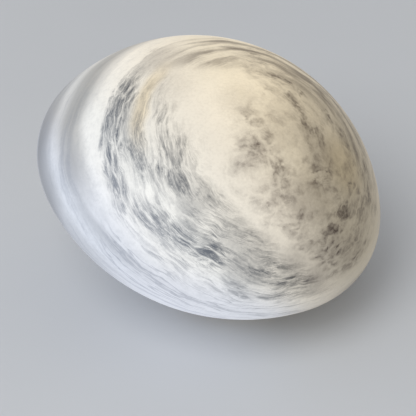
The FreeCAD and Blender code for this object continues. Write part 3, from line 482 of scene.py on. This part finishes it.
def lower_layers(stone, pale):
    """The plain layers under the mottles, which dip to the front, with a dim far side and a dim rim."""
    dip = 0.16
    far_shade = (0.78, 0.78, 0.79, 1)
    rim_shade = (0.86, 0.86, 0.87, 1)
    lower = stone.line(stone.depth, dip, stone.calm)
    lower = stone.plus(lower, stone.step(stone.depth, mm(-40, 10), mm(0, -5)))
    shown = stone.step(stone.depth, mm(-115, -60), (0.25, 1.0))
    shown = stone.most(shown, stone.step(lower, mm(20, 28), (0.64, 0.0)))
    pale = stone.shaded(shown, pale, lower_bands(stone, lower))
    far = stone.times(stone.step(stone.depth, mm(-50, -10)), stone.step(lower, mm(38, 46), (1, 0)))
    far = stone.times(far, stone.step(lower, mm(-36, -16)))
    pale = stone.shaded(far, pale, far_shade)
    return stone.shaded(stone.step(stone.calm, mm(-12, 14), (1.0, 0.0)), pale, rim_shade)


def lower_bands(stone, height):
    """Brightness of the plain layers: a dim rim, a light streak, a grey band and a white one."""
    bottom = LAYER_TONES[0][0]
    span = LAYER_TONES[-1][0] - bottom
    rise = stone.line(height, 1 / (span * MM), -bottom / span, clamp=True)
    return stone.ramp(rise, [((level - bottom) / span, grey(share)) for level, share in LAYER_TONES])


def surface_marks(stone, pale):
    """Painted cool light on the lower front, a fine grain, a yellow tint along one layer and a stain at the
    right.
    """
    # Painted cool light: the lower front turns a cooler pale.
    front = stone.step(stone.along(FRONT_BELOW), mm(92, 120), (0, 0.8))
    pale = stone.mix(front, pale, tone(215, 219, 229))
    grain = stone.noise(stone.scaled(stone.layered, (0.6, 0.6, 1.4)), 5 * MM, roughness=0.65)
    grain = stone.step(grain, (0.35, 0.7), (0.0, 0.16))
    grain = stone.times(grain, stone.step(stone.height, mm(52, 60), (1.0, 0.3)))
    pale = stone.mix(grain, pale, tone(150, 156, 164))
    tinted_layer = 80 * MM
    tint = stone.step(stone.apart(stone.height, tinted_layer), mm(1, 7), (0.6, 0.0))
    tint = stone.times(tint, stone.near((-80, -35, 200), 15, 60, 1.0))
    pale = stone.mix(tint, pale, tone(246, 226, 186))
    return stone.mix(stone.near((82, -42, 142), 8, 36, 0.4), pale, tone(226, 200, 146))


def inner_light(stone):
    """The light from inside, for the glow and painted into the reflected colour too: strongest near the foot
    and at the heart, and weaker to the right.
    """
    light = stone.times(stone.step(stone.along(RIGHT), mm(38, 125), (1.0, 0.55)),
                        stone.step(stone.along(FOOT), mm(-70, 20), (0.76, 1.0)))
    light = stone.times(light, stone.step(stone.along(RIGHT_BELOW), mm(50, 130), (1.0, 0.84)))
    light = stone.plus(light, stone.near((2, -30, 202), 10, 60, 0.12))
    return stone.ramp(light, [(0.0, grey(0)), (1.0, grey(1))])


# Metals, each between two tones and two roughnesses

def spun(finish, size):
    """Fine rings about the upright axis, as turning leaves them."""
    outwards = finish.vector("LENGTH", finish.scaled(finish.place, (1, 1, 0)))
    values = {"X": outwards, "Z": finish.height_of(finish.place)}
    joined = finish.fed(finish.add("ShaderNodeCombineXYZ"), values)
    return finish.noise(joined.outputs[0], size, roughness=0.65)


def turned_metal(name, dark, light, roughness):
    """Metal with turning marks and a faint uneven tarnish."""
    metal = Finish(name)
    rings = spun(metal, 1.4 * MM)
    tarnish = metal.noise(metal.place, 24 * MM, detail=5, roughness=0.6)
    colour = metal.mix(metal.step(tarnish, (0.3, 0.7), (0.6, 1.0)), dark, light)
    shade = metal.mix(metal.step(rings, (0.35, 0.7), (0.0, 0.4)), colour, dark)
    metal.set(base_color=shade, metallic=1.0, roughness=metal.step(rings, (0.3, 0.7), roughness))
    metal.bump(rings, 0.04 * MM, 0.35)
    return metal.material


def stamped_metal(name, dark, light, roughness):
    """Sheet or wire metal with a fine crystal grain and scuffs."""
    metal = Finish(name)
    grain = metal.step(metal.cells(metal.place, 1.3 * MM), (0.1, 0.7), (0.0, 0.08))
    scuffs = metal.noise(metal.scaled(metal.place, (0.35, 1, 1)), 4 * MM, detail=6, roughness=0.7)
    shade = metal.mix(metal.step(scuffs, (0.35, 0.68)), dark, light)
    worn = metal.plus(metal.step(scuffs, (0.3, 0.7), roughness), grain)
    metal.set(base_color=shade, metallic=1.0, roughness=worn)
    metal.bump(scuffs, 0.03 * MM, 0.3)
    return metal.material


def satin_brass():
    return turned_metal("satin_brass", (0.52, 0.37, 0.17, 1), (0.74, 0.58, 0.33, 1), (0.26, 0.42))


def button_metal():
    return turned_metal("button_metal", (0.60, 0.45, 0.23, 1), (0.80, 0.65, 0.40, 1), (0.12, 0.22))


def lamp_cap_metal():
    return turned_metal("lamp_cap_metal", (0.58, 0.58, 0.57, 1), (0.75, 0.75, 0.75, 1), (0.18, 0.3))


def contact_brass():
    return stamped_metal("contact_brass", (0.62, 0.45, 0.22, 1), (0.80, 0.65, 0.38, 1), (0.2, 0.36))


def steel():
    return stamped_metal("steel", (0.50, 0.52, 0.55, 1), (0.66, 0.67, 0.68, 1), (0.28, 0.44))


# Mouldings, insulation, cork and porcelain

def moulded(name, dark, light, roughness):
    """Moulded plastic with a fine grain and faint flow marks, between two tones and two roughnesses."""
    plastic = Finish(name)
    flow = plastic.noise(plastic.scaled(plastic.place, (1, 1, 0.4)), 9 * MM, detail=3, distortion=0.4)
    grain = plastic.noise(plastic.place, 0.5 * MM, detail=2)
    plastic.set(base_color=plastic.ramp(flow, [(0.3, dark), (0.7, light)]),
                roughness=plastic.step(grain, (0.3, 0.7), roughness))
    plastic.bump(grain, 0.02 * MM, 0.35)
    return plastic.material


def switch_plastic():
    return moulded("switch_plastic", (0.012, 0.012, 0.013, 1), (0.022, 0.022, 0.023, 1), (0.4, 0.55))


def block_plastic():
    return moulded("block_plastic", (0.70, 0.69, 0.63, 1), (0.78, 0.77, 0.72, 1), (0.42, 0.58))


def lamp_housing():
    return moulded("lamp_housing", (0.76, 0.76, 0.74, 1), (0.83, 0.83, 0.81, 1), (0.26, 0.36))


def gasket_rubber():
    return moulded("gasket_rubber", (0.56, 0.54, 0.50, 1), (0.68, 0.66, 0.62, 1), (0.6, 0.75))


def live_insulation():
    return moulded("live_insulation", (0.085, 0.034, 0.014, 1), (0.13, 0.054, 0.022, 1), (0.38, 0.5))


def neutral_insulation():
    return moulded("neutral_insulation", (0.014, 0.05, 0.22, 1), (0.024, 0.08, 0.33, 1), (0.38, 0.5))


def lamp_glass_black():
    return moulded("lamp_glass_black", (0.006, 0.006, 0.008, 1), (0.014, 0.014, 0.018, 1), (0.08, 0.16))


def earth_insulation():
    """Green insulation with a yellow stripe above and below."""
    green = (0.045, 0.22, 0.04, 1)
    yellow = (0.72, 0.56, 0.03, 1)
    plastic = Finish("earth_insulation")
    normal = plastic.add("ShaderNodeNewGeometry").outputs["Normal"]
    upright_share = plastic.math("ABSOLUTE", plastic.height_of(normal))
    grain = plastic.noise(plastic.place, 0.6 * MM, detail=2)
    stripe = plastic.step(plastic.plus(upright_share, plastic.times(grain, 0.05)), (0.5, 0.58))
    plastic.set(base_color=plastic.mix(stripe, green, yellow),
                roughness=plastic.step(grain, (0.3, 0.7), (0.38, 0.5)))
    plastic.bump(grain, 0.02 * MM, 0.3)
    return plastic.material


def cork():
    """Pressed cork: brown granules of several tones with dark bark between them."""
    granule_size = 2.6 * MM
    board = Finish("cork")
    warped = board.pushed(board.place, 2 * MM, 1.2 * MM)
    cells = board.fed(board.add("ShaderNodeTexVoronoi"), {"Vector": warped, "Scale": 1 / granule_size})
    split = board.add("ShaderNodeSeparateColor")
    board.feed(split.inputs[0], cells.outputs["Color"])
    granule = board.ramp(split.outputs[0], [(0.0, tone(128, 88, 52)), (0.35, tone(176, 130, 84)),
                                            (0.7, tone(202, 158, 108)), (1.0, tone(152, 106, 66))])
    gap = board.step(board.cell_edges(warped, granule_size), (0.0, 0.12), (1.0, 0.0))
    bark = board.step(board.noise(board.place, 5 * MM), (0.6, 0.72), (0.0, 0.75))
    dark = board.most(board.times(gap, 0.55), bark)
    board.set(base_color=board.mix(dark, granule, tone(74, 48, 30)),
              roughness=board.step(dark, (0, 1), (0.78, 0.92)))
    board.bump(board.minus(1, dark), 0.25 * MM, 0.6)
    return board.material


def porcelain():
    """White glazed porcelain, a little creamier where the glaze is thick, with rare pinholes."""
    glaze = Finish("porcelain")
    pool = glaze.noise(glaze.place, 8 * MM, detail=3)
    pinholes = glaze.step(glaze.noise(glaze.place, 1.2 * MM, detail=2), (0.7, 0.76), (0.0, 0.6))
    white = glaze.ramp(pool, [(0.3, (0.80, 0.79, 0.74, 1)), (0.7, (0.87, 0.87, 0.85, 1))])
    glaze.set(base_color=glaze.mix(pinholes, white, (0.35, 0.3, 0.25, 1)), coat_weight=0.6,
              roughness=glaze.step(pool, (0.3, 0.7), (0.12, 0.22)))
    glaze.bump(pool, 0.08 * MM, 0.25)
    return glaze.material


# Parts of the bulb

def lamp_globe():
    """Opal diffuser, lit from inside: brightest at its top and a little warmer towards its rim."""
    globe = Finish("lamp_globe")
    low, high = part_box("bulb_globe")
    rise = globe.step(globe.height_of(globe.place), (low[2], high[2]))
    frost = globe.noise(globe.place, 0.8 * MM, detail=3)
    light = globe.ramp(rise, [(0.0, (0.78, 0.62, 0.42, 1)), (0.35, (0.93, 0.84, 0.68, 1)),
                              (1.0, (0.97, 0.92, 0.8, 1))])
    globe.set(base_color=globe.ramp(frost, [(0.3, (0.24, 0.24, 0.23, 1)), (0.7, (0.28, 0.28, 0.27, 1))]),
              emission_color=light, emission_strength=0.8,
              roughness=globe.step(frost, (0.3, 0.7), (0.32, 0.45)))
    globe.bump(frost, 0.02 * MM, 0.3)
    return globe.material


def circuit_board():
    """Lacquered board with tracks in two directions and tinned pads."""
    board = Finish("circuit_board")
    values = {"Vector": board.place, "Rotation": (math.pi / 2, 0, 0)}
    turned = board.fed(board.add("ShaderNodeMapping"), values).outputs["Vector"]
    tracks = board.add("ShaderNodeTexBrick", offset=0.37, squash=0.6, squash_frequency=3)
    board.fed(tracks, {"Vector": turned, "Scale": 260.0, "Mortar Size": 0.08, "Color1": (0.02, 0.10, 0.05, 1),
                       "Color2": (0.03, 0.13, 0.06, 1), "Mortar": (0.07, 0.26, 0.12, 1)})
    pads = board.step(board.cells(board.place, 3.2 * MM), (0.16, 0.2), (1.0, 0.0))
    board.set(base_color=board.mix(pads, tracks.outputs["Color"], (0.6, 0.6, 0.58, 1)),
              metallic=board.times(pads, 0.9), roughness=board.step(pads, (0, 1), (0.3, 0.4)))
    return board.material


def light_board():
    """White lacquered board with faint copper areas under the lacquer."""
    board = Finish("light_board")
    areas = board.step(board.cell_edges(board.place, 7 * MM), (0.02, 0.06))
    grain = board.noise(board.place, 0.7 * MM, detail=2)
    board.set(base_color=board.mix(areas, (0.66, 0.66, 0.64, 1), (0.80, 0.80, 0.78, 1)),
              roughness=board.step(grain, (0.3, 0.7), (0.34, 0.46)))
    board.bump(areas, 0.05 * MM, 0.5)
    return board.material


def light_chips():
    """Yellow phosphor under clear resin."""
    chip = Finish("light_chips")
    grains = chip.noise(chip.place, 0.4 * MM, detail=3)
    yellow = chip.ramp(grains, [(0.3, (0.78, 0.55, 0.10, 1)), (0.7, (0.90, 0.74, 0.22, 1))])
    chip.set(base_color=chip.shaded(1.0, yellow, grey(0.5)), emission_color=yellow, emission_strength=0.5,
             roughness=chip.step(grains, (0.3, 0.7), (0.12, 0.22)))
    return chip.material


FINISHES = {rule.__name__: rule() for rule in (
    alabaster, satin_brass, button_metal, lamp_cap_metal, contact_brass, steel, switch_plastic,
    block_plastic, lamp_housing, gasket_rubber, live_insulation, neutral_insulation, lamp_glass_black,
    earth_insulation, cork, porcelain, lamp_globe, circuit_board, light_board, light_chips)}


def dress_all():
    """Every node takes the finish of its slot."""
    for row in frame["record"]["subparts"]:
        mesh = nodes[row["node"]].data
        mesh.materials.clear()
        mesh.materials.append(FINISHES[row["material_slot"]])


# Turned pieces with threads, flutes and recesses, which replace plainer solids

def add_rings(points, outline, segments, radius_at, place):
    """Turn an outline of (radius, height), in millimetres, anticlockwise with the radius to the right.

    A rule may give each point's own radius from its radius, height and angle. A ring lists its points.
    """
    rings = []
    for radius, height in outline:
        first = len(points)
        for index in range(segments if radius else 1):
            angle = 2 * math.pi * index / segments
            reach = radius_at(radius, height, angle) if radius_at and radius else radius
            point = Vector((reach * math.cos(angle), reach * math.sin(angle), height)) * MM
            points.append(place @ point)
        rings.append(range(first, len(points)))
    return rings


def ring_faces(lower, upper):
    """Faces between two rings, either of which may be a single point."""
    count = max(len(lower), len(upper))
    for index in range(count if count > 1 else 0):
        after = (index + 1) % count
        if len(lower) == 1:
            yield lower[0], upper[after], upper[index]
        elif len(upper) == 1:
            yield lower[index], lower[after], upper[0]
        else:
            yield lower[index], lower[after], upper[after], upper[index]


def make_piece(name, node, outline, segments, radius_at=None, places=(Matrix(),)):
    """A piece that stands for a node, on its body and in its finish: an outline turned at each place."""
    points = []
    faces = []
    for place in places:
        rings = add_rings(points, outline, segments, radius_at, place)
        for lower, upper in zip(rings, rings[1:] + rings[:1]):
            faces += ring_faces(lower, upper)
    row = next(item for item in frame["record"]["subparts"] if item["node"] == node)
    bodies = frame["record"]["behaviour"]["bodies"]
    mesh = bpy.data.meshes.new(name)
    mesh.from_pydata(points, [], faces)
    mesh.polygons.foreach_set("use_smooth", [True] * len(mesh.polygons))
    mesh.set_sharp_from_angle(angle=math.radians(SHARP_ANGLE))
    mesh.materials.append(FINISHES[row["material_slot"]])
    piece = bpy.data.objects.new(name, mesh)
    bpy.context.scene.collection.objects.link(piece)
    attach(piece, next(body for body, names in bodies.items() if node in names))
    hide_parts(node)


def upright(node):
    """A node's lowest and highest height and its radius about the upright axis, in millimetres."""
    low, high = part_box(node)
    return low[2] / MM, high[2] / MM, high[0] / MM


def rows(radius, low, high, count):
    """Evenly spaced outline points up, or down, a straight wall."""
    return [(radius, low + (high - low) * index / count) for index in range(count + 1)]


def around(radius, height, *offsets):
    """Outline points about a corner, each given by how far out and how far up it lies."""
    return [(radius + out, height + up) for out, up in offsets]


def quarter(count):
    """Angles of a quarter turn, in even steps."""
    return [math.pi / 2 * step / count for step in range(count + 1)]


def curve(start, first, second, end, count):
    """Outline points from start to end along a smooth curve that two more points pull towards them."""
    points = []
    for step in range(count + 1):
        share = step / count
        rest = 1 - share
        weights = (rest ** 3, 3 * rest ** 2 * share, 3 * rest * share ** 2, share ** 3)
        pulls = list(zip(weights, (start, first, second, end)))
        points.append(tuple(sum(weight * point[axis] for weight, point in pulls) for axis in (0, 1)))
    return points


def thread(depth, pitch, low, high):
    """A rule that cuts a round right-hand thread between two heights, and runs out at both ends."""
    runout = 0.6 * pitch

    def radius_at(radius, height, angle):
        share = 0.5 - 0.5 * math.cos(2 * math.pi * (height / pitch - angle / (2 * math.pi)))
        inside = min(height - low, high - height) / runout
        return radius - depth * share * max(0, min(1, inside))
    return radius_at


def only_at(surface, cut):
    """A rule that cuts one radius of an outline and leaves the others as they are."""
    def radius_at(radius, height, angle):
        return cut(radius, height, angle) if radius == surface else radius
    return radius_at


def threaded_cap():
    """The bulb's cap: a rolled thread under a plain collar."""
    low, high, radius = upright("bulb_cap")
    wall, corner, rise, collar_height, thread_depth = 0.4, 2, 1.2, 7, 1.0
    inside = radius - wall
    start = low + rise
    collar = high - collar_height
    outline = [(0, low), (radius - corner, low)] + rows(radius, start, collar, CAP_ROWS)
    outline += around(radius, collar, (-0.5, 0.5), (-0.3, rise)) + around(radius, high, (0, -0.4), (-0.1, 0))
    outline += [(inside, high), (inside - 0.1, collar + rise)] + rows(inside, collar, start, CAP_ROWS)
    outline += [(radius - corner, low + wall), (0, low + wall)]
    cut = thread(thread_depth, CAP_PITCH, start, collar)
    make_piece("bulb_cap_threaded", "bulb_cap", outline, CAP_SEGMENTS, cut)


def threaded_sleeve():
    """The lampholder's sleeve, with a shallow rolled thread between plain ends."""
    low, high, radius = upright("holder_screw_shell")
    wall, plain_end, thread_depth = 0.35, 2, 0.3
    outline = rows(radius, low, high, CAP_ROWS) + rows(radius - wall, high, low, CAP_ROWS)
    cut = thread(thread_depth, CAP_PITCH, low + plain_end, high - plain_end)
    make_piece("holder_sleeve_threaded", "holder_screw_shell", outline, CAP_SEGMENTS, cut)


def fluted_skirt():
    """The lampholder's skirt: a grip with flutes, a bead and a shade thread up to the mouth."""
    low, high, radius = upright("lampholder_skirt")
    clearance, step_in, grip_height = 0.3, 2, 9
    flutes, flute_depth, flute_power = 28, 0.55, 1.5
    thread_depth, pitch = 0.7, 2.4
    inner = upright("holder_screw_shell")[2] + clearance
    waist = radius - step_in
    grip = low + grip_height
    cut = thread(thread_depth, pitch, grip + 3, high - 1)

    def radius_at(reach, height, angle):
        if low + 1 < height < grip - 0.4 and reach > waist:
            return reach - flute_depth * abs(math.sin(flutes * angle / 2)) ** flute_power
        return cut(reach, height, angle) if reach > inner + 1 else reach

    outline = [(inner, low)]
    outline += around(radius, low, (-0.4, 0), (0, 0.4), (0, 0.9), (-0.3, 1.0), (-0.1, 1.4))
    outline += rows(radius, low + 1.8, grip - 1.2, 6)
    outline += around(radius, grip, (-0.1, -0.8), (-0.3, -0.4), (0, 0), (0, 0.6), (-0.5, 1.1))
    outline += [(waist, grip + 1.6)] + rows(waist, grip + 2.4, high - 0.8, 44)
    outline += [(waist - 0.5, high), (inner, high)]
    make_piece("lampholder_skirt_fluted", "lampholder_skirt", outline, 168, radius_at)


def rounded_holder_cap():
    """The lampholder's cup with a rounded shoulder and two turned grooves."""
    low, high, radius = upright("lampholder_cap")
    hole, shoulder, wall, ledge, groove = 5.15, 5, 2, 2, 0.5
    bowl = radius - wall
    well = bowl - ledge
    seat = low + 11
    floor_top = low + 4
    outline = [(hole, low)]
    outline += [(radius - shoulder + shoulder * math.sin(turn), low + shoulder - shoulder * math.cos(turn))
                for turn in quarter(8)]
    for middle in (low + 7, high - 2):
        outline += around(radius, middle, (0, -groove), (-groove, 0), (0, groove))
    outline += [(radius, high), (bowl, high), (bowl, seat), (well, seat)]
    outline += [(well, floor_top), (hole, floor_top)]
    make_piece("lampholder_cap_rounded", "lampholder_cap", outline, 96)


def flared_housing():
    """The bulb's housing, with a smooth flare from its foot to its rim."""
    low, high, rim = upright("bulb_housing")
    base, foot = upright("bulb_cap")[1:]
    play, wall, rim_wall, shelf_depth = 0.75, 1.6, 1.2, 1.6
    neck = foot - play
    bore = neck - wall
    inside = rim - rim_wall
    shelf = high - shelf_depth
    outline = [(bore, low), (neck, low), (neck, base), (foot, base)]
    outline += curve((foot, base + 0.8), (foot + 1.2, base + 6), (rim - 0.2, base + 8), (rim, high - 1.2), 16)
    outline += around(rim, high, (0, -0.9), (-0.3, -0.8), (-0.3, 0))
    outline += [(inside, high), (inside, shelf), (inside - 3, shelf), (foot + 0.8, base + 5.4), (bore, base)]
    make_piece("bulb_housing_flared", "bulb_housing", outline, 96)


def laid_out(node):
    """A place on the base's rim, with the turned axis outwards, in the direction of a node."""
    low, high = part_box(node)
    middle = (Vector(low) + Vector(high)) / 2
    outwards = Vector((middle.x, middle.y, 0)).normalized()
    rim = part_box("base_pan")[1][0]
    start = Vector((outwards.x * rim, outwards.y * rim, middle.z))
    return Matrix.Translation(start) @ outwards.to_track_quat("Z", "Y").to_matrix().to_4x4()


def knurled_bezel():
    """The switch's ring nut, with a knurled edge."""
    inner, outer, thick = 4.15, 5.5, 2.5
    knurls, knurl_depth = 40, 0.28
    outline = [(inner, 0)] + around(outer, 0, (-0.4, 0), (0, 0.3), (0, 1.5), (-0.3, 1.8))
    outline += around(outer, thick, (-0.8, -0.1), (-1.0, 0)) + around(inner, thick, (0.2, 0), (0, -0.2))

    def knurl(radius, height, angle):
        return radius - knurl_depth * (0.5 + 0.5 * math.cos(knurls * angle))

    make_piece("switch_bezel_knurled", "switch_bezel", outline, 160, only_at(outer, knurl),
               [laid_out("switch_bezel")])


def rounded_gland():
    """The cord gland: a flange with two turned steps, a mouth rounded for the cord and a threaded shank."""
    bore, shank, flange, thick, reach = 3.2, 4.0, 5.0, 3.0, 18.5
    lip, lip_out, step_in, plain_shank = 0.9, 0.55, 0.35, 5
    thread_depth, pitch, runin = 0.35, 1.0, 0.3
    ridge = bore + lip
    spring = thick - lip
    outline = [(bore, -reach)] + rows(shank, -reach, -0.2, 120) + [(shank, 0)]
    outline += around(flange, 0, (-0.2, 0), (0, 0.2), (0, 1.4), (-step_in, 1.5), (-step_in, 2.1))
    outline += [(ridge + lip_out * math.cos(turn), spring + lip * math.sin(turn)) for turn in quarter(6)]
    outline += [(ridge - lip * math.sin(turn), spring + lip * math.cos(turn)) for turn in quarter(6)]
    cut = only_at(shank, thread(thread_depth, pitch, -reach + runin, -plain_shank))
    make_piece("cord_gland_rounded", "cord_gland", outline, 48, cut, [laid_out("cord_gland")])


def cut_nipple():
    """The tube that carries the lampholder, threaded from end to end."""
    low, high, radius = upright("threaded_nipple")
    bore, chamfer, chamfer_height, thread_depth, pitch = 3.6, 0.2, 0.3, 0.6, 1.0
    outline = [(bore + chamfer, low)] + rows(radius, low, high, 160) + [(bore + chamfer, high)]
    outline += [(bore, high - chamfer_height), (bore, low + chamfer_height)]
    cut = only_at(radius, thread(thread_depth, pitch, low, high))
    make_piece("nipple_cut_thread", "threaded_nipple", outline, 40, cut)


def bar(along, across, length, width):
    """How far a bar reaches in a direction, from half its length and half its width."""
    tiny = 1e-6
    return min(length / max(along, tiny), width / max(across, tiny))


def cross(angle, length, width):
    """How far a cross-shaped recess reaches at an angle."""
    along = abs(math.cos(angle))
    across = abs(math.sin(angle))
    return max(bar(along, across, length, width), bar(across, along, length, width))


def headed_screws(name, node, places, head, head_height, shank, length):
    """Screws, each with a domed head below its place, a cross recess in it and a threaded shank above."""
    recess = 0.62 * head
    crown = 0.68 * head
    arm = 0.2 * recess
    face = -head_height
    bottom = face + 0.6 * head_height
    pitch = shank / 3
    rows_per_turn, tip = 7, 0.3
    cut = thread(0.25 * shank, pitch, 0.4, length)
    outline = [(0, bottom), (0.55 * recess, bottom), (recess, face)]
    outline += [(crown + 0.32 * head * math.sin(turn), face / 3 - 2 / 3 * head_height * math.cos(turn))
                for turn in quarter(5)]
    outline += [(head, 0)] + rows(shank, 0, length - tip, round(rows_per_turn * length / pitch))
    outline += [(shank - 0.4, length), (0, length)]

    def radius_at(radius, height, angle):
        if height < 0 and radius <= recess:
            return cross(angle, recess, arm) * radius / recess
        return cut(radius, height, angle) if radius == shank else radius

    make_piece(name, node, outline, 32, radius_at, places)


def cover_screws():
    """Three screws that hold the bottom cover."""
    circle, first_angle, count = 51.5, 20, 3
    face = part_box("bottom_cover")[0][2]
    places = []
    for index in range(count):
        turn = math.radians(first_angle + index * 360 / count)
        place = (circle * math.cos(turn) * MM, circle * math.sin(turn) * MM, face)
        places.append(Matrix.Translation(place))
    headed_screws("cover_screws_recessed", "cover_screws", places, head=2.9, head_height=1.6,
                  shank=1.5, length=8)


def block_screws():
    """Two screws that hold the terminal block."""
    low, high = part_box("terminal_block")
    spacing = 10 * MM
    middle = (low[0] + high[0]) / 2
    places = [Matrix.Translation((middle, side * spacing, low[2])) for side in (-0.5, 0.5)]
    headed_screws("block_screws_recessed", "block_screws", places, head=2.6, head_height=1.6,
                  shank=1.5, length=17)


def earth_screw():
    """The screw at the earth tag."""
    low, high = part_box("earth_screw")
    head_height = 2.4
    place = ((low[0] + high[0]) / 2, (low[1] + high[1]) / 2, low[2] + head_height * MM)
    headed_screws("earth_screw_recessed", "earth_screw", [Matrix.Translation(place)], head=3.6,
                  head_height=head_height, shank=1.9, length=3.8)


def slotted_screws():
    """The terminal block's clamping screws, each with a slot below."""
    low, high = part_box("terminal_screws")
    radius = (high[0] - low[0]) / 2 / MM
    length = (high[2] - low[2]) / MM
    slot_length, slot_width, slot_depth = 0.9 * radius, 0.2 * radius, 0.9
    thread_depth, pitch, tip = 0.2 * radius, 0.5, 0.4
    cut = thread(thread_depth, pitch, 0.6, length)
    outline = [(0, slot_depth), (0.98 * slot_length, slot_depth), (slot_length, 0), (radius - 0.1, 0)]
    outline += rows(radius, 0.2, length - tip, 70) + [(radius - tip, length), (0, length)]

    def radius_at(reach, height, angle):
        if reach <= slot_length and height <= slot_depth:
            full = bar(abs(math.cos(angle)), abs(math.sin(angle)), slot_length, slot_width)
            return full * reach / slot_length
        return cut(reach, height, angle) if reach == radius else reach

    middle = (low[0] + high[0]) / 2
    spots = (low[1] + radius * MM, (low[1] + high[1]) / 2, high[1] - radius * MM)
    places = [Matrix.Translation((middle, spot, low[2])) for spot in spots]
    make_piece("terminal_screws_slotted", "terminal_screws", outline, 32, radius_at, places)


def turned_pieces():
    """All pieces that replace a plainer solid."""
    for rule in (threaded_cap, threaded_sleeve, fluted_skirt, rounded_holder_cap, flared_housing,
                 knurled_bezel, rounded_gland, cut_nipple, cover_screws, block_screws, earth_screw,
                 slotted_screws):
        rule()


# Stage

def floor():
    """The pale floor that the lamp stands on."""
    corners = [(-1, -1), (1, -1), (1, 1), (-1, 1)]
    mesh = bpy.data.meshes.new("floor")
    mesh.from_pydata([(across * FLOOR_HALF, back * FLOOR_HALF, FLOOR_TOP) for across, back in corners], [],
                     [(0, 1, 2, 3)])
    piece = bpy.data.objects.new("floor", mesh)
    bpy.context.scene.collection.objects.link(piece)
    finish = Finish("floor")
    speckle = finish.noise(finish.place, FLOOR_SPECKLE, detail=3)
    finish.set(base_color=finish.ramp(speckle, [(0.3, (0.59, 0.61, 0.64, 1)), (0.7, (0.62, 0.64, 0.67, 1))]),
               roughness=0.6)
    mesh.materials.append(finish.material)


def surroundings():
    """An even pale world, which looks brighter than the light it gives."""
    world = bpy.data.worlds.new("world")
    bpy.context.scene.world = world
    world.use_nodes = True
    tree = world.node_tree
    background = tree.nodes["Background"]
    background.inputs["Color"].default_value = grey(1)
    path = tree.nodes.new("ShaderNodeLightPath")
    seen = path.outputs["Is Camera Ray"]
    for name in ("Is Glossy Ray", "Is Transmission Ray"):
        either = tree.nodes.new("ShaderNodeMath")
        either.operation = "MAXIMUM"
        tree.links.new(seen, either.inputs[0])
        tree.links.new(path.outputs[name], either.inputs[1])
        seen = either.outputs[0]
    level = tree.nodes.new("ShaderNodeMapRange")
    level.inputs["To Min"].default_value = WORLD_LIGHT
    level.inputs["To Max"].default_value = WORLD_SEEN
    tree.links.new(seen, level.inputs["Value"])
    tree.links.new(level.outputs[0], background.inputs["Strength"])


def aimed(name, data, place, aim):
    """Put a light or a camera in the scene, so that it looks from a place at another."""
    thing = bpy.data.objects.new(name, data)
    thing.location = place
    thing.rotation_euler = (aim - place).to_track_quat("-Z", "Y").to_euler()
    bpy.context.scene.collection.objects.link(thing)
    return thing


def key_light():
    """A soft key from the upper left."""
    light = bpy.data.lights.new("key", "AREA")
    light.shape = "DISK"
    light.size = KEY_SIZE
    light.energy = KEY_POWER
    aimed("key", light, KEY_PLACE, KEY_AIM)


def camera():
    """The camera that stands where the photo was taken."""
    data = bpy.data.cameras.new("camera")
    data.sensor_width = SENSOR_WIDTH
    data.lens = FOCAL_PIXELS / IMAGE_PIXELS * SENSOR_WIDTH
    data.clip_end = CAMERA_REACH
    bpy.context.scene.camera = aimed("camera", data, CAMERA_PLACE, CAMERA_AIM)


dress_all()
turned_pieces()
floor()
surroundings()
key_light()
camera()
bpy.context.scene.view_settings.view_transform = "Standard"
